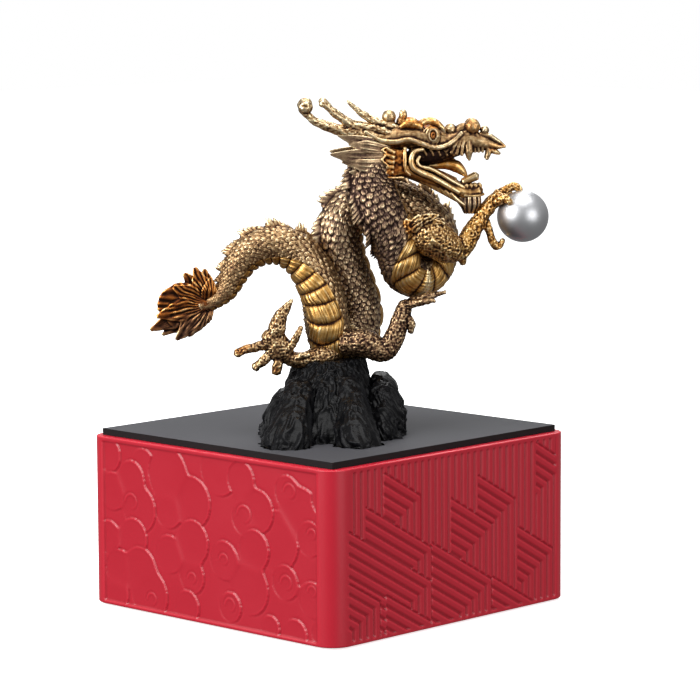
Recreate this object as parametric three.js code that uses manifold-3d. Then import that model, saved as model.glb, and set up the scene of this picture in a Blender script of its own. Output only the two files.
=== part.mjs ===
// A cast dragon that holds out a steel pearl. It stands on a rock, and the rock is screwed to the
// lift-off lid of a square lacquered case with a lined inside.
// Millimetres, +Z up. The origin is the centre of the case's footprint, on the surface it stands on.
// The case's sides run along X and Y. The dragon looks along the case's diagonal, towards +X +Y.
import * as THREE from "three";
import { mergeVertices } from "three/addons/utils/BufferGeometryUtils.js";
import Module from "manifold-3d";

const wasm = await Module();
wasm.setup();

// Driving dimensions: the case.
const caseSide = 160;
const caseHeight = 79;
const caseWall = 10;
const caseCorner = 10; // radius of the four upright edges
const footProud = 1; // how far the feet stand out below the case
const footRadius = 7;
const footRecess = 1;
const footInset = 22; // from the case's side to a foot's axis
const floorThickness = 6;
const floorRebate = 5; // how far the floor panel is let into the walls
const trayWall = 1.5;
const trayHeadroom = 3; // from the tray's rim up to the lid's locating frame

// Driving dimensions: the lid.
const lidInset = 5; // from the case's side to the lid's edge
const lidThickness = 3;
const locatorWidth = 8;
const locatorDepth = 6;
const locatorPlay = 0.6; // between the locating frame and the case's mouth, each side

// Driving dimensions: the figure and its fasteners.
const figureForward = 4; // from the lid's centre towards the corner in front of the dragon's flank
const pearlRadius = 12;
const studRadius = 1.5;
const pinRadius = 1.2;
const anchorRadius = 2;
const rockScrewRadius = 2;
const washerRadius = 5.5;
const washerThickness = 1;
const eyeRadius = 2.2;

// Clearances.
const seat = 0.1; // between flat faces that rest on each other
const gap = 0.3; // between castings that are fitted to each other
const play = 0.15; // round a pin or a screw in its hole

// Heights that follow from the driving dimensions.
const caseBottom = footProud;
const rim = caseBottom + caseHeight;
const lidBottom = rim + seat;
const lidTop = lidBottom + lidThickness;
const mouth = caseSide - 2 * caseWall;
const lidSide = caseSide - 2 * lidInset;

// ---------------------------------------------------------------- geometry helpers

// A closed three.js geometry as a manifold-3d solid.
function solid(geometry) {
  const bare = geometry.clone();
  bare.deleteAttribute("normal");
  bare.deleteAttribute("uv");
  const merged = mergeVertices(bare, 1e-4);
  return new wasm.Manifold(
    new wasm.Mesh({
      numProp: 3,
      vertProperties: merged.getAttribute("position").array,
      triVerts: new Uint32Array(merged.index.array),
    }),
  );
}

// A manifold-3d solid as a three.js geometry.
function geometryOf(made) {
  const mesh = made.getMesh();
  const geometry = new THREE.BufferGeometry();
  geometry.setAttribute("position", new THREE.BufferAttribute(mesh.vertProperties, 3));
  geometry.setIndex(new THREE.BufferAttribute(mesh.triVerts, 1));
  geometry.computeVertexNormals();
  return geometry;
}

function join(...solids) {
  return solids.reduce((a, b) => a.add(b));
}

function cut(from, ...tools) {
  return tools.reduce((a, b) => a.subtract(b), from);
}

// A box with its base centre at (x, y, z).
function block(width, depth, height, x = 0, y = 0, z = 0) {
  const geometry = new THREE.BoxGeometry(width, depth, height);
  return solid(geometry.translate(x, y, z + height / 2));
}

// An upright cylinder with its base centre at (x, y, z).
function post(radius, height, x, y, z, sides = 24) {
  const geometry = new THREE.CylinderGeometry(radius, radius, height, sides);
  return solid(geometry.rotateX(Math.PI / 2).translate(x, y, z + height / 2));
}

// A round pin from one point to another.
function pin(radius, from, to, sides = 12) {
  const a = new THREE.Vector3(...from);
  const along = new THREE.Vector3(...to).sub(a);
  const geometry = new THREE.CylinderGeometry(radius, radius, along.length(), sides);
  geometry.translate(0, along.length() / 2, 0);
  const turn = new THREE.Quaternion().setFromUnitVectors(
    new THREE.Vector3(0, 1, 0),
    along.clone().normalize(),
  );
  return solid(geometry.applyQuaternion(turn).translate(a.x, a.y, a.z));
}

// An ellipsoid with its half sizes in a list, or a sphere with one radius.
function ball(x, y, z, size, sides = 10) {
  const geometry = new THREE.SphereGeometry(1, sides, Math.round(sides * 0.6));
  const [rx, ry, rz] = Array.isArray(size) ? size : [size, size, size];
  return solid(geometry.scale(rx, ry, rz).translate(x, y, z));
}

// An organic form swept through stations of [x, y, z, half width, half height]. It grows by `grow` on
// every side, which makes the cutter that leaves a gap round it. `from` and `to` are station numbers.
const stepsPerStation = 1.5;
function sweep(stations, { from = 0, to = stations.length - 1, grow = 0, sides = 10 } = {}) {
  const centre = new THREE.CatmullRomCurve3(stations.map(([x, y, z]) => new THREE.Vector3(x, y, z)));
  const sizes = new THREE.CatmullRomCurve3(
    stations.map(([, , , w, h = w]) => new THREE.Vector3(w, h, 0)),
  );
  const last = stations.length - 1;
  const steps = Math.max(2, Math.ceil((to - from) * stepsPerStation));
  const geometry = new THREE.CylinderGeometry(1, 1, 1, sides, steps);
  const position = geometry.getAttribute("position");
  const frames = [];
  let side = null;
  for (let i = 0; i <= steps; i++) {
    const share = (from + ((to - from) * i) / steps) / last;
    const tangent = centre.getTangent(share);
    // The first side lies level, and each next one is the one before it, squared up to the path.
    side = (side ?? new THREE.Vector3(0, 0, 1).cross(tangent)).clone();
    side.addScaledVector(tangent, -side.dot(tangent)).normalize();
    const size = sizes.getPoint(share);
    const past = i === 0 ? -grow : i === steps ? grow : 0;
    frames.push({
      at: centre.getPoint(share).addScaledVector(tangent, past),
      side,
      up: tangent.clone().cross(side),
      width: size.x + grow,
      height: size.y + grow,
    });
  }
  for (let i = 0; i < position.count; i++) {
    const frame = frames[Math.round((0.5 - position.getY(i)) * steps)];
    const point = frame.at
      .clone()
      .addScaledVector(frame.side, position.getX(i) * frame.width)
      .addScaledVector(frame.up, position.getZ(i) * frame.height);
    position.setXYZ(i, point.x, point.y, point.z);
  }
  return solid(geometry);
}

// A flat-sided blade: an outline of [x, z] points, thick either side of the plane y = 0.
function blade(outline, thickness) {
  const shape = new THREE.Shape(outline.map(([x, z]) => new THREE.Vector2(x, z)));
  const geometry = new THREE.ExtrudeGeometry(shape, { depth: thickness, bevelEnabled: false });
  return solid(geometry.rotateX(Math.PI / 2).translate(0, thickness / 2, 0));
}

// A square with rounded corners, centred on the origin.
function roundedSquare(side, radius) {
  const half = side / 2;
  const inner = half - radius;
  const shape = new THREE.Shape();
  shape.moveTo(-inner, -half);
  shape.absarc(inner, -inner, radius, -Math.PI / 2, 0);
  shape.absarc(inner, inner, radius, 0, Math.PI / 2);
  shape.absarc(-inner, inner, radius, Math.PI / 2, Math.PI);
  shape.absarc(-inner, -inner, radius, Math.PI, 1.5 * Math.PI);
  return shape;
}

// ---------------------------------------------------------------- materials

const lacquer = new THREE.MeshStandardMaterial({ color: "#b3122a", roughness: 0.45, metalness: 0 });
const blackPlate = new THREE.MeshStandardMaterial({ color: "#2c2c2f", roughness: 0.5, metalness: 0 });
const blackBoard = new THREE.MeshStandardMaterial({ color: "#1c1c1d", roughness: 0.8, metalness: 0 });
const flock = new THREE.MeshStandardMaterial({ color: "#202022", roughness: 1, metalness: 0 });
const rubber = new THREE.MeshStandardMaterial({ color: "#141414", roughness: 0.9, metalness: 0 });
const rockPaint = new THREE.MeshStandardMaterial({ color: "#17171a", roughness: 0.55, metalness: 0 });
const bronze = new THREE.MeshStandardMaterial({ color: "#9c7434", roughness: 0.35, metalness: 0.9 });
const eyeGold = new THREE.MeshStandardMaterial({ color: "#d08a24", roughness: 0.25, metalness: 0.9 });
const steel = new THREE.MeshStandardMaterial({ color: "#b9bbbd", roughness: 0.3, metalness: 1 });

const object = new THREE.Group();
const figure = new THREE.Group();
figure.rotation.z = Math.PI / 4;
figure.position.set(figureForward * Math.SQRT1_2, -figureForward * Math.SQRT1_2, lidTop);
object.add(figure);
figure.updateMatrixWorld(true);

function place(group, name, made, material) {
  const mesh = new THREE.Mesh(geometryOf(made), material);
  mesh.name = name;
  group.add(mesh);
}

// ---------------------------------------------------------------- case, floor, feet and tray

const corners = [
  [1, 1],
  [-1, 1],
  [-1, -1],
  [1, -1],
];
const floorSide = mouth + 2 * floorRebate - 2 * gap;
const floorTop = caseBottom + floorThickness - seat;
const floorScrewRadius = 1.25;
const floorScrewHead = 2.1;
const floorScrewHeadDepth = 1.6;
const floorScrewLength = 16;
const floorScrewAt = mouth / 2 + floorRebate / 2 - gap; // in the thick of the wall's corner
const screwSink = 0.2; // how far a countersunk head lies below the panel

function floorScrew(x, y, grow, slotted) {
  const profile = [
    [0, 0],
    [floorScrewHead + grow, 0],
    [floorScrewRadius + grow, floorScrewHeadDepth],
    [floorScrewRadius + grow, floorScrewLength - 2 + (grow ? screwSink : 0)],
    [0, floorScrewLength + (grow ? screwSink + grow : 0)],
  ];
  const points = profile.map(([radius, z]) => new THREE.Vector2(radius, z));
  const lathe = new THREE.LatheGeometry(points, 16).rotateX(Math.PI / 2);
  const base = caseBottom + (grow ? 0 : screwSink);
  const made = solid(lathe.translate(x, y, base));
  if (!slotted) return made.add(post(floorScrewHead + grow, screwSink, x, y, base - screwSink, 16));
  const slot = [block(2.4, 0.5, 0.8, x, y, base - 0.05), block(0.5, 2.4, 0.8, x, y, base - 0.05)];
  return cut(made, ...slot);
}

const caseOutline = roundedSquare(caseSide, caseCorner);
caseOutline.holes.push(roundedSquare(mouth, 1));
const caseWalls = solid(
  new THREE.ExtrudeGeometry(caseOutline, {
    depth: caseHeight,
    bevelEnabled: false,
    curveSegments: 6,
  }).translate(0, 0, caseBottom),
);
const rebateSide = mouth + 2 * floorRebate;
const rebate = block(rebateSide, rebateSide, floorThickness + 1, 0, 0, caseBottom - 1);
const screwHoles = corners.map(([sx, sy]) => floorScrew(sx * floorScrewAt, sy * floorScrewAt, play));
place(object, "case_walls", cut(caseWalls, rebate, ...screwHoles), lacquer);

const footAt = caseSide / 2 - footInset;
const footHoles = corners.map(([sx, sy]) =>
  post(footRadius + play, footRecess + 1, sx * footAt, sy * footAt, caseBottom - 1),
);
const floorPanel = block(floorSide, floorSide, floorTop - caseBottom, 0, 0, caseBottom);
place(object, "floor_panel", cut(floorPanel, ...screwHoles, ...footHoles), blackBoard);

const cornerNames = ["right_back", "left_back", "left_front", "right_front"];
corners.forEach(([sx, sy], i) => {
  const foot = post(footRadius, footProud + footRecess - seat, sx * footAt, sy * footAt, 0);
  place(object, `foot_${cornerNames[i]}`, foot, rubber);
  const screw = floorScrew(sx * floorScrewAt, sy * floorScrewAt, 0, true);
  place(object, `floor_screw_${cornerNames[i]}`, screw, steel);
});

const traySide = mouth - 2 * gap;
const trayFloor = floorTop + seat;
const trayInside = traySide - 2 * trayWall;
const trayHeight = lidBottom - seat - locatorDepth - trayHeadroom - trayFloor;
const tray = cut(
  block(traySide, traySide, trayHeight, 0, 0, trayFloor),
  block(trayInside, trayInside, trayHeight, 0, 0, trayFloor + trayWall),
);
place(object, "lining_tray", tray, flock);

// ---------------------------------------------------------------- lid, rock screws and washers

// Three screws hold the rock, at [x, y] in the figure's frame.
const rockScrewAt = [
  [-15, -26],
  [17, -24],
  [-3, 16],
];
const rockScrewLength = 13; // above the lid
const rockScrewHead = 3.6;
const rockScrewHeadHeight = 2.4;
const headBottom = -lidThickness - washerThickness - rockScrewHeadHeight - 2 * seat;

function rockScrew(x, y, grow) {
  const head = post(rockScrewHead, rockScrewHeadHeight, x, y, headBottom, 20);
  const shank = post(rockScrewRadius + grow, rockScrewLength + grow - headBottom, x, y, headBottom, 16);
  return grow ? shank : cut(join(head, shank), post(1.5, 1.4, x, y, headBottom - 0.1, 6));
}

const lidHoles = rockScrewAt.map(([x, y]) => {
  const at = figure.localToWorld(new THREE.Vector3(x, y, 0));
  return post(rockScrewRadius + play, lidThickness + 2, at.x, at.y, lidBottom - 1, 16);
});
const lidPlate = cut(block(lidSide, lidSide, lidThickness, 0, 0, lidBottom), ...lidHoles);
place(object, "lid_plate", lidPlate, blackPlate);

const locatorSide = mouth - 2 * locatorPlay;
const locatorInside = locatorSide - 2 * locatorWidth;
const locator = cut(
  block(locatorSide, locatorSide, locatorDepth, 0, 0, lidBottom - seat - locatorDepth),
  block(locatorInside, locatorInside, locatorDepth + 2, 0, 0, lidBottom - locatorDepth - 1),
);
place(object, "lid_locating_frame", locator, blackBoard);

rockScrewAt.forEach(([x, y], i) => {
  const washerBottom = -lidThickness - washerThickness - seat;
  const washer = cut(
    post(washerRadius, washerThickness, x, y, washerBottom, 24),
    post(rockScrewRadius + play, washerThickness + 2, x, y, washerBottom - 1, 16),
  );
  place(figure, `rock_washer_${i + 1}`, washer, steel);
  place(figure, `rock_screw_${i + 1}`, rockScrew(x, y, 0), steel);
});

// ---------------------------------------------------------------- the dragon's body

// Centre and radius of the body, from the tail's root to the skull, in the figure's frame: +X is the
// way the dragon looks, +Y is away from its near flank, and z = 0 is the lid's top.
const bodyPath = [
  [-60, 0, 57.5, 2.8],
  [-54, 0, 59.5, 3.6],
  [-47.5, 0, 65, 5],
  [-43.5, 0, 73, 6.3],
  [-38, 0, 81, 7.6],
  [-30, 0, 85.5, 8.4],
  [-21, 0, 85.5, 8.8],
  [-12.5, -0.5, 80.5, 9.2],
  [-6.5, -2, 71.5, 9.6],
  [-2.5, -4, 61, 9.9],
  [-1, -5, 51, 10],
  [1.2, -2.2, 41.5, 10],
  [6.8, 4.5, 37.8, 10.2],
  [12.2, 11.2, 41.5, 10.5],
  [14.5, 14, 50.5, 10.8],
  [13, 14, 60, 10.8],
  [9.5, 12, 70, 10.8],
  [6.5, 10, 80, 10.6],
  [5.5, 9, 89, 10.6],
  [8, 10, 97.5, 10.6],
  [15, 12.5, 103.5, 10.6],
  [25, 14, 105, 10.6],
  [35, 13, 103, 10.6],
  [44, 11, 97.5, 10.6],
  [50, 9, 90.5, 10.2],
  [51, 7, 82.5, 9.8],
  [48.2, 4.6, 74.2, 9.5],
  [41.5, -1, 70.6, 9.3],
  [34.8, -6.6, 74.2, 9.4],
  [32, -9, 83, 9.8],
  [29, -9.5, 92.5, 10.6],
  [23.5, -8, 102, 11.5],
  [20, -5, 111, 11.5],
  [21, -2, 121, 10.5],
  [26, 0, 128, 9],
];
// The castings meet at these station numbers.
const hipJoint = 12.6;
const archJoint = 20.5;
const neckJoint = 27.2;
const neckTop = bodyPath.length - 1;
const stationGap = gap / 10; // the stations lie about 10 mm apart

// A point on the body's centreline, at a station number.
const bodyCurve = new THREE.CatmullRomCurve3(bodyPath.map(([x, y, z]) => new THREE.Vector3(x, y, z)));
const bodyShare = (station) => station / (bodyPath.length - 1);
const onBody = (station) => bodyCurve.getPoint(bodyShare(station)).toArray();

// The fins along the back: station, the way the fin stands out, and its height above the hide.
const backFins = [
  [2.6, [-7, 0, 6], 2.4],
  [3.5, [-8, 0, 5], 2.8],
  [4.4, [-5, 0, 8], 3],
  [5.2, [-1, 0, 8], 3.2],
  [6.1, [1, 0, 8], 3.2],
  [7, [4, 3, 6], 3],
  [8, [5, 6, 2], 3],
  [9, [4, 8, 0], 2.6],
  [14.2, [-3, 8, 0], 2.6],
  [15.4, [-5, 7, 0], 2.8],
  [16.5, [-6, 6, 0], 3],
  [17.6, [-8, 4, 0], 3],
  [18.7, [-8, 1, 3], 3.2],
  [19.6, [-5, 0, 7], 3.2],
  [21.2, [0, 0, 8], 3],
  [22.2, [2, 0, 8], 3],
  [23.1, [5, 1, 7], 3],
  [24, [8, 2, 4], 2.6],
  [29, [-8, -2, 0], 2.6],
  [30, [-8, -1, -2], 2.8],
  [31, [-8, 0, -2], 3],
  [32, [-8, 0, 1], 3.2],
  [32.8, [-8, 0, 2], 3],
];
const finRoot = 2; // how far a fin's root reaches into the hide
const finLength = 3.2; // half of the root's length along the back
const finHalf = 1;

function backFin([station, way, height]) {
  const tangent = bodyCurve.getTangent(bodyShare(station));
  const out = new THREE.Vector3(...way).normalize();
  out.addScaledVector(tangent, -out.dot(tangent)).normalize();
  const below = Math.floor(station);
  const radius = THREE.MathUtils.lerp(bodyPath[below][3], bodyPath[below + 1][3], station - below);
  const root = bodyCurve.getPoint(bodyShare(station)).addScaledVector(out, radius - finRoot);
  const lean = out.clone().addScaledVector(tangent, -0.4);
  const geometry = new THREE.ConeGeometry(1, 1, 6).translate(0, 0.5, 0);
  geometry.scale(finLength, finRoot + height, finHalf);
  const across = tangent.clone().cross(out);
  const basis = new THREE.Matrix4().makeBasis(tangent, lean, across);
  return solid(geometry.applyMatrix4(basis.setPosition(root)));
}

// A stretch of the body with its fins.
function bodyPart(from, to, grow) {
  const hide = sweep(bodyPath, { from, to, grow, sides: 12 });
  if (grow) return hide;
  const own = backFins.filter(([station]) => station > from && station < to);
  return join(hide, ...own.map(backFin));
}
const hindBody = (grow) => bodyPart(0, hipJoint - stationGap, grow);
const trunk = (grow) => bodyPart(hipJoint, archJoint - stationGap, grow);
const chest = (grow) => bodyPart(archJoint, neckJoint - stationGap, grow);
const neck = (grow) => bodyPart(neckJoint, neckTop, grow);
const wholeBody = join(hindBody(gap), trunk(gap), chest(gap), neck(gap));

// Pins that hold one casting to the next: name, ends and radius.
const reach = 0.45; // in stations, each way from a joint between body castings
const pins = {
  hip_pin: [onBody(hipJoint - reach), onBody(hipJoint + reach), pinRadius],
  arch_pin: [onBody(archJoint - reach), onBody(archJoint + reach), pinRadius],
  neck_pin: [onBody(neckJoint - reach), onBody(neckJoint + reach), pinRadius],
  front_anchor: [[1.5, -0.5, 14], [1.5, -0.5, 44], anchorRadius],
  rear_anchor: [[8, 15, 14], [8, 15, 42], anchorRadius],
};

// ---------------------------------------------------------------- the head

const skullStations = [
  [18, 0, 132, 5, 4],
  [24, 0, 133.5, 8.5, 6.5],
  [34, -0.5, 136, 9.5, 8],
  [45, -1, 136.5, 9, 7.5],
  [55, -1.6, 134, 6.5, 5.5],
  [63, -2.2, 134.5, 7.5, 6.5],
  [72, -2.8, 133, 6, 4.5],
  [80.5, -3.4, 131.8, 2, 1.2],
];
const jawStations = [
  [30, 0, 124.5, 7.5, 5],
  [38, -0.5, 121.5, 8, 4.5],
  [48, -1, 118, 7, 3.6],
  [58, -1.8, 113.5, 6, 3.6],
  [65, -2.2, 111.5, 5.2, 5],
  [70, -2.5, 113.5, 3.4, 3.4],
];
function skull(grow = 0) {
  const knobs = [
    [29, -4, 142.6, 4],
    [35, -3, 144, 2.8],
    [42, -6.5, 142, 3.4],
    [42, 4.5, 142, 3.4],
    [56, -1.8, 139.5, 2.8],
    [66.5, -5, 140.5, 3.4],
    [66.5, 1, 140.5, 3.4],
    [72.5, -2.8, 138, 3],
  ];
  const fangs = [
    [[65, -6, 129.5, 1.8], [65, -5.8, 124.2, 0.6]],
    [[65, 1.2, 129.5, 1.8], [65, 1, 124.2, 0.6]],
    [[73, -5, 130.5, 1.6], [73.3, -4.8, 125.2, 0.6]],
  ];
  return join(
    sweep(skullStations, { grow, sides: 12 }),
    ...knobs.map(([x, y, z, radius]) => ball(x, y, z, radius + grow, 8)),
    ...fangs.map((fang) => sweep(fang, { grow, sides: 5 })),
  );
}
const jaw = (grow = 0) => sweep(jawStations, { grow, sides: 10 });
const eyeAt = [48, 6.6, 138.2];
const eye = (side, grow = 0) => ball(eyeAt[0], side * eyeAt[1] - 1.2, eyeAt[2], eyeRadius + grow);
const tongueStations = [
  [40, -0.6, 126, 3.5, 1.6],
  [50, -1, 124, 3.6, 1.6],
  [58, -1.5, 121.5, 3, 2],
  [63, -2, 118.6, 1.6, 1.2],
];
const tongue = (grow = 0) => sweep(tongueStations, { grow, sides: 8 });

// A horn's beam and its tine, on one side: side is -1 on the near flank and 1 on the far one.
function horn(side, grow = 0) {
  const beam = [
    [27, side * 5, 138.5, 3],
    [14, side * 8, 141.5, 3.1],
    [2, side * 9.5, 141.8, 2.4],
    [-7, side * 10, 144, 1.9],
    [-12.5, side * 10, 148.5, 1.6],
  ];
  const tine = [
    [13, side * 8, 141.5, 2.4],
    [6, side * 8.5, 146, 2],
    [-1.5, side * 9, 152, 1.3],
  ];
  return join(
    sweep(beam, { grow, sides: 8 }),
    sweep(tine, { grow, sides: 6 }),
    ball(-10.5, side * 9.5, 151.5, 3.4 + grow),
  );
}

// The mane's three locks, on one side.
function mane(side, grow = 0) {
  const locks = [
    [[27, 7, 132, 3.4, 3.4], [17, 9.5, 133, 2.6, 2.8], [6.5, 10, 136.5, 0.6, 0.5]],
    [[27, 8, 126.5, 3.4, 4], [16, 10.5, 127.5, 2.6, 3], [3.5, 11, 128.5, 0.6, 0.5]],
    [[28, 7, 120, 2.8, 3], [20, 10, 118.5, 2, 2.2], [13, 10.5, 117, 0.6, 0.6]],
  ];
  return join(
    ...locks.map((lock) =>
      sweep(lock.map(([x, y, z, w, h]) => [x, side * y, z, w, h]), { grow, sides: 6 }),
    ),
    ball(27, side * 7.5, 126, [4 + grow, 3 + grow, 8 + grow]),
  );
}
const beardStations = [
  [61, -2, 108.5, 4, 3],
  [64, -2.2, 105, 4, 3.4],
  [65.5, -2.3, 102.5, 2.4, 1.8],
];
const beard = (grow = 0) => sweep(beardStations, { grow, sides: 10 });

// ---------------------------------------------------------------- the limbs

const pearlAt = [90.5, 0, 98.5];

function ballArm(grow = 0) {
  const upper = [
    [40, -9, 93, 7, 8],
    [48, -11, 90, 8.5, 9.5],
    [56, -10, 85, 6.5, 7.5],
    [61, -8, 84, 4.6, 5],
    [66, -6, 91, 4.6, 4.6],
    [71, -3.5, 98.5, 3.6, 3.6],
    [76, -1.5, 105, 3.4, 3.8],
    [80.5, -1, 109, 3, 3.4],
  ];
  const fingers = [
    [[79, 0, 108.5, 2.2], [84, 1, 112.5, 1.8], [88, 1.5, 111.8, 1.3]],
    [[78, -4, 106.5, 2.2], [82.5, -7, 108.5, 1.9], [86, -7.8, 106.2, 1.4]],
    [[78, 3, 106.5, 2.2], [82.5, 6.5, 109, 1.9], [86.5, 7.6, 107, 1.3]],
    [[73, -2, 98, 2], [74.5, -2, 91, 1.7], [77.8, -2, 87.2, 2], [81.6, -1.5, 89, 1]],
  ];
  return join(
    sweep(upper, { grow, sides: 8 }),
    ...fingers.map((finger) => sweep(finger, { grow, sides: 6 })),
    ball(61.5, -8, 80.5, [2.4 + grow, 2.2 + grow, 3.2 + grow]),
  );
}

// The far arm is folded behind the chest, with its hand open beside the neck.
function foldedArm(grow = 0) {
  const upper = [
    [46, 15, 88, 6.5, 7],
    [54, 20, 84, 5.6, 6],
    [58.5, 23, 78.5, 4, 4.4],
    [52, 25.5, 82, 3.6, 3.8],
    [44, 26.5, 89, 3.2, 3.4],
    [38, 27, 95, 3, 3.6],
  ];
  const fingers = [
    [[39, 27, 94, 2.2], [31, 27, 97, 1.6], [26.5, 25.5, 95, 1]],
    [[38.5, 27, 95.5, 2.2], [33, 27.5, 102, 1.6], [29.5, 26.5, 103.5, 1]],
    [[38.5, 27, 96, 2.2], [38.5, 28, 104, 1.6], [36, 27, 107, 1]],
    [[40, 27, 93, 2], [36, 28.5, 88, 1.6], [32, 28, 87, 1]],
  ];
  return join(
    sweep(upper, { grow, sides: 8 }),
    ...fingers.map((finger) => sweep(finger, { grow, sides: 6 })),
  );
}

function spreadLeg(grow = 0) {
  const leg = [
    [-4, -9, 36, 5.5, 5.5],
    [-12, -11.5, 33.6, 4.4, 3.6],
    [-18.5, -13, 35, 3.8, 3.4],
    [-23, -14, 39.5, 4.6, 5],
    [-25.5, -14, 44.5, 3.8, 4.5],
  ];
  const toes = [
    [[-26, -14, 42, 2.8], [-33, -14, 40.4, 2.1], [-38, -14, 39.2, 2], [-42, -14, 37.6, 1.7]],
    [[-26, -14, 39.5, 2.6], [-31, -15, 34, 2.1], [-36, -15, 30.2, 1.8]],
    [[-23.5, -14, 38, 2.8], [-24, -15.5, 31.5, 2.2], [-24.2, -15.5, 27.4, 1.8]],
    [[-24.5, -14, 44, 3.4], [-23.5, -14, 51, 4], [-21, -14, 57, 2.8], [-17, -14, 62.4, 0.9]],
    [[-19, -15, 38, 2.2], [-15.5, -16.5, 44, 1.9], [-12.6, -16, 49.5, 1.2]],
  ];
  return join(
    sweep(leg, { grow, sides: 8 }),
    ...toes.map((toe) => sweep(toe, { grow, sides: 6 })),
  );
}

function raisedLeg(grow = 0) {
  const leg = [
    [7, -7, 41, 6.5, 6.5],
    [17, -11, 41, 6, 6.6],
    [25.5, -13, 38, 5.4, 5.4],
    [30, -13, 43.5, 4.8, 5],
    [33, -12, 52, 4.2, 4.6],
    [36, -11, 59.5, 3.4, 3.6],
  ];
  const toes = [
    [[35.5, -11, 58.5, 3], [41, -11, 61, 2.2], [48, -11, 63, 1.7], [54, -11, 64.6, 0.9]],
    [[35.5, -11, 58.5, 2.6], [40, -15, 60, 2], [45, -18, 61, 1.6], [49, -19.5, 61.4, 0.9]],
    [[35.5, -11, 58.5, 2.6], [40, -7, 60, 2], [45, -4, 60.4, 1.6], [49, -3, 60.6, 0.9]],
    [[34.5, -12, 54.5, 2.4], [38, -13, 50.5, 2], [37.8, -13, 46, 1.3]],
  ];
  return join(
    sweep(leg, { grow, sides: 8 }),
    ...toes.map((toe) => sweep(toe, { grow, sides: 6 })),
  );
}

// ---------------------------------------------------------------- the tail fin

// The fin's outline in x and z: five flame-like lobes that fan back from the root of the tail.
const finOutline = [
  [-54, 60],
  [-53.5, 67],
  [-57.5, 75.5],
  [-61, 73],
  [-65, 73.5],
  [-68, 68],
  [-73, 62],
  [-77, 55],
  [-83.5, 48.5],
  [-79, 46],
  [-73, 46.5],
  [-70, 43.5],
  [-67, 46],
  [-65, 44.5],
  [-59, 52],
  [-57, 56.5],
];
const finThickness = 5;
const tailFin = (grow) => blade(finOutline, finThickness + 2 * grow);
pins.tail_pin = [[-66, 0, 57], [-54.5, 0, 59.3], pinRadius];
pins.head_pin = [[22.5, -1, 122], [31, 0, 135], pinRadius];
pins.pearl_stud = [[78, -0.9, 105.6], [86, -0.4, 101.4], studRadius];
pins.ball_arm_pin = [[44, -13, 89], [46.5, 2, 90], pinRadius];
pins.folded_arm_pin = [[47, 12, 88.5], [54.5, 21, 83], pinRadius];
pins.spread_leg_pin = [[-11, -11.5, 34], [-2.5, -5.6, 39], pinRadius];
pins.raised_leg_pin = [[6, -3.5, 41], [15, -10, 41], pinRadius];

const holes = Object.values(pins).map(([from, to, radius]) => {
  const along = new THREE.Vector3(...to).sub(new THREE.Vector3(...from)).setLength(play);
  const start = new THREE.Vector3(...from).sub(along).toArray();
  const end = new THREE.Vector3(...to).add(along).toArray();
  return pin(radius + play, start, end);
});

// ---------------------------------------------------------------- the rock

// Crags of the rock, as sweeps from the lid upwards: a broad core with five spurs round it.
function rock() {
  const base = seat;
  const crags = [
    [[0, -14, base, 27, 40], [0, -10, 12, 22, 32], [0, -5, 24, 17, 24], [2, 0, 35.5, 16, 19]],
    [[-19, -50, base, 10, 14], [-18, -44, 8, 9, 12], [-14, -30, 20, 6, 8]],
    [[12, -48, base, 9.5, 13], [12, -43, 9, 8.5, 11], [9, -28, 21, 6, 7]],
    [[25, -16, base, 9, 24], [25, -12, 13, 8, 18], [24, -5, 24, 5, 10]],
    [[-20, 8, base, 9, 15], [-17, 8, 12, 8, 10], [-13, 7, 21, 5, 6]],
    [[12, 24, base, 13, 13], [11, 22, 12, 10, 10], [9, 19, 24, 7, 7]],
  ];
  const underLid = block(200, 200, 40, 0, 0, base - 40);
  return cut(join(...crags.map((crag) => sweep(crag, { sides: 12 }))), underLid);
}

// ---------------------------------------------------------------- fitting the castings together

const pearl = (grow = 0) => ball(...pearlAt, pearlRadius + grow, 24);
const rockScrews = rockScrewAt.map(([x, y]) => rockScrew(x, y, play));
const inRock = [wholeBody, spreadLeg(gap), raisedLeg(gap), ...rockScrews, ...holes];

place(figure, "rock", cut(rock(), ...inRock), rockPaint);
place(figure, "hind_body", cut(hindBody(0), trunk(gap), ...holes), bronze);
place(figure, "trunk", cut(trunk(0), ...holes), bronze);
place(figure, "chest", cut(chest(0), trunk(gap), ...holes), bronze);
place(figure, "neck", cut(neck(0), trunk(gap), chest(gap), ...holes), bronze);
place(figure, "skull", cut(skull(), neck(gap), eye(-1, play), eye(1, play), ...holes), bronze);
place(figure, "lower_jaw", cut(jaw(), skull(gap), neck(gap), ...holes), bronze);
place(figure, "tongue", cut(tongue(), skull(gap), jaw(gap), neck(gap)), bronze);
for (const [name, side] of [["near", -1], ["far", 1]]) {
  place(figure, `${name}_eye`, eye(side), eyeGold);
  place(figure, `${name}_horn`, cut(horn(side), skull(gap), neck(gap)), bronze);
  place(figure, `${name}_mane`, cut(mane(side), skull(gap), neck(gap), jaw(gap), horn(side, gap)), bronze);
}
place(figure, "beard", cut(beard(), jaw(gap)), bronze);
place(figure, "ball_arm", cut(ballArm(), wholeBody, pearl(gap), ...holes), bronze);
place(figure, "folded_arm", cut(foldedArm(), wholeBody, ...holes), bronze);
place(figure, "spread_leg", cut(spreadLeg(), wholeBody, ...holes), bronze);
place(figure, "raised_leg", cut(raisedLeg(), wholeBody, spreadLeg(gap), ...holes), bronze);
place(figure, "tail_fin", cut(tailFin(0), hindBody(gap), ...holes), bronze);
place(figure, "pearl", cut(pearl(), ...holes), steel);
for (const [name, [from, to, radius]] of Object.entries(pins)) {
  place(figure, name, pin(radius, from, to), steel);
}

export default object;
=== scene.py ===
import math

import bpy
import numpy as np
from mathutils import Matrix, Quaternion, Vector


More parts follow.
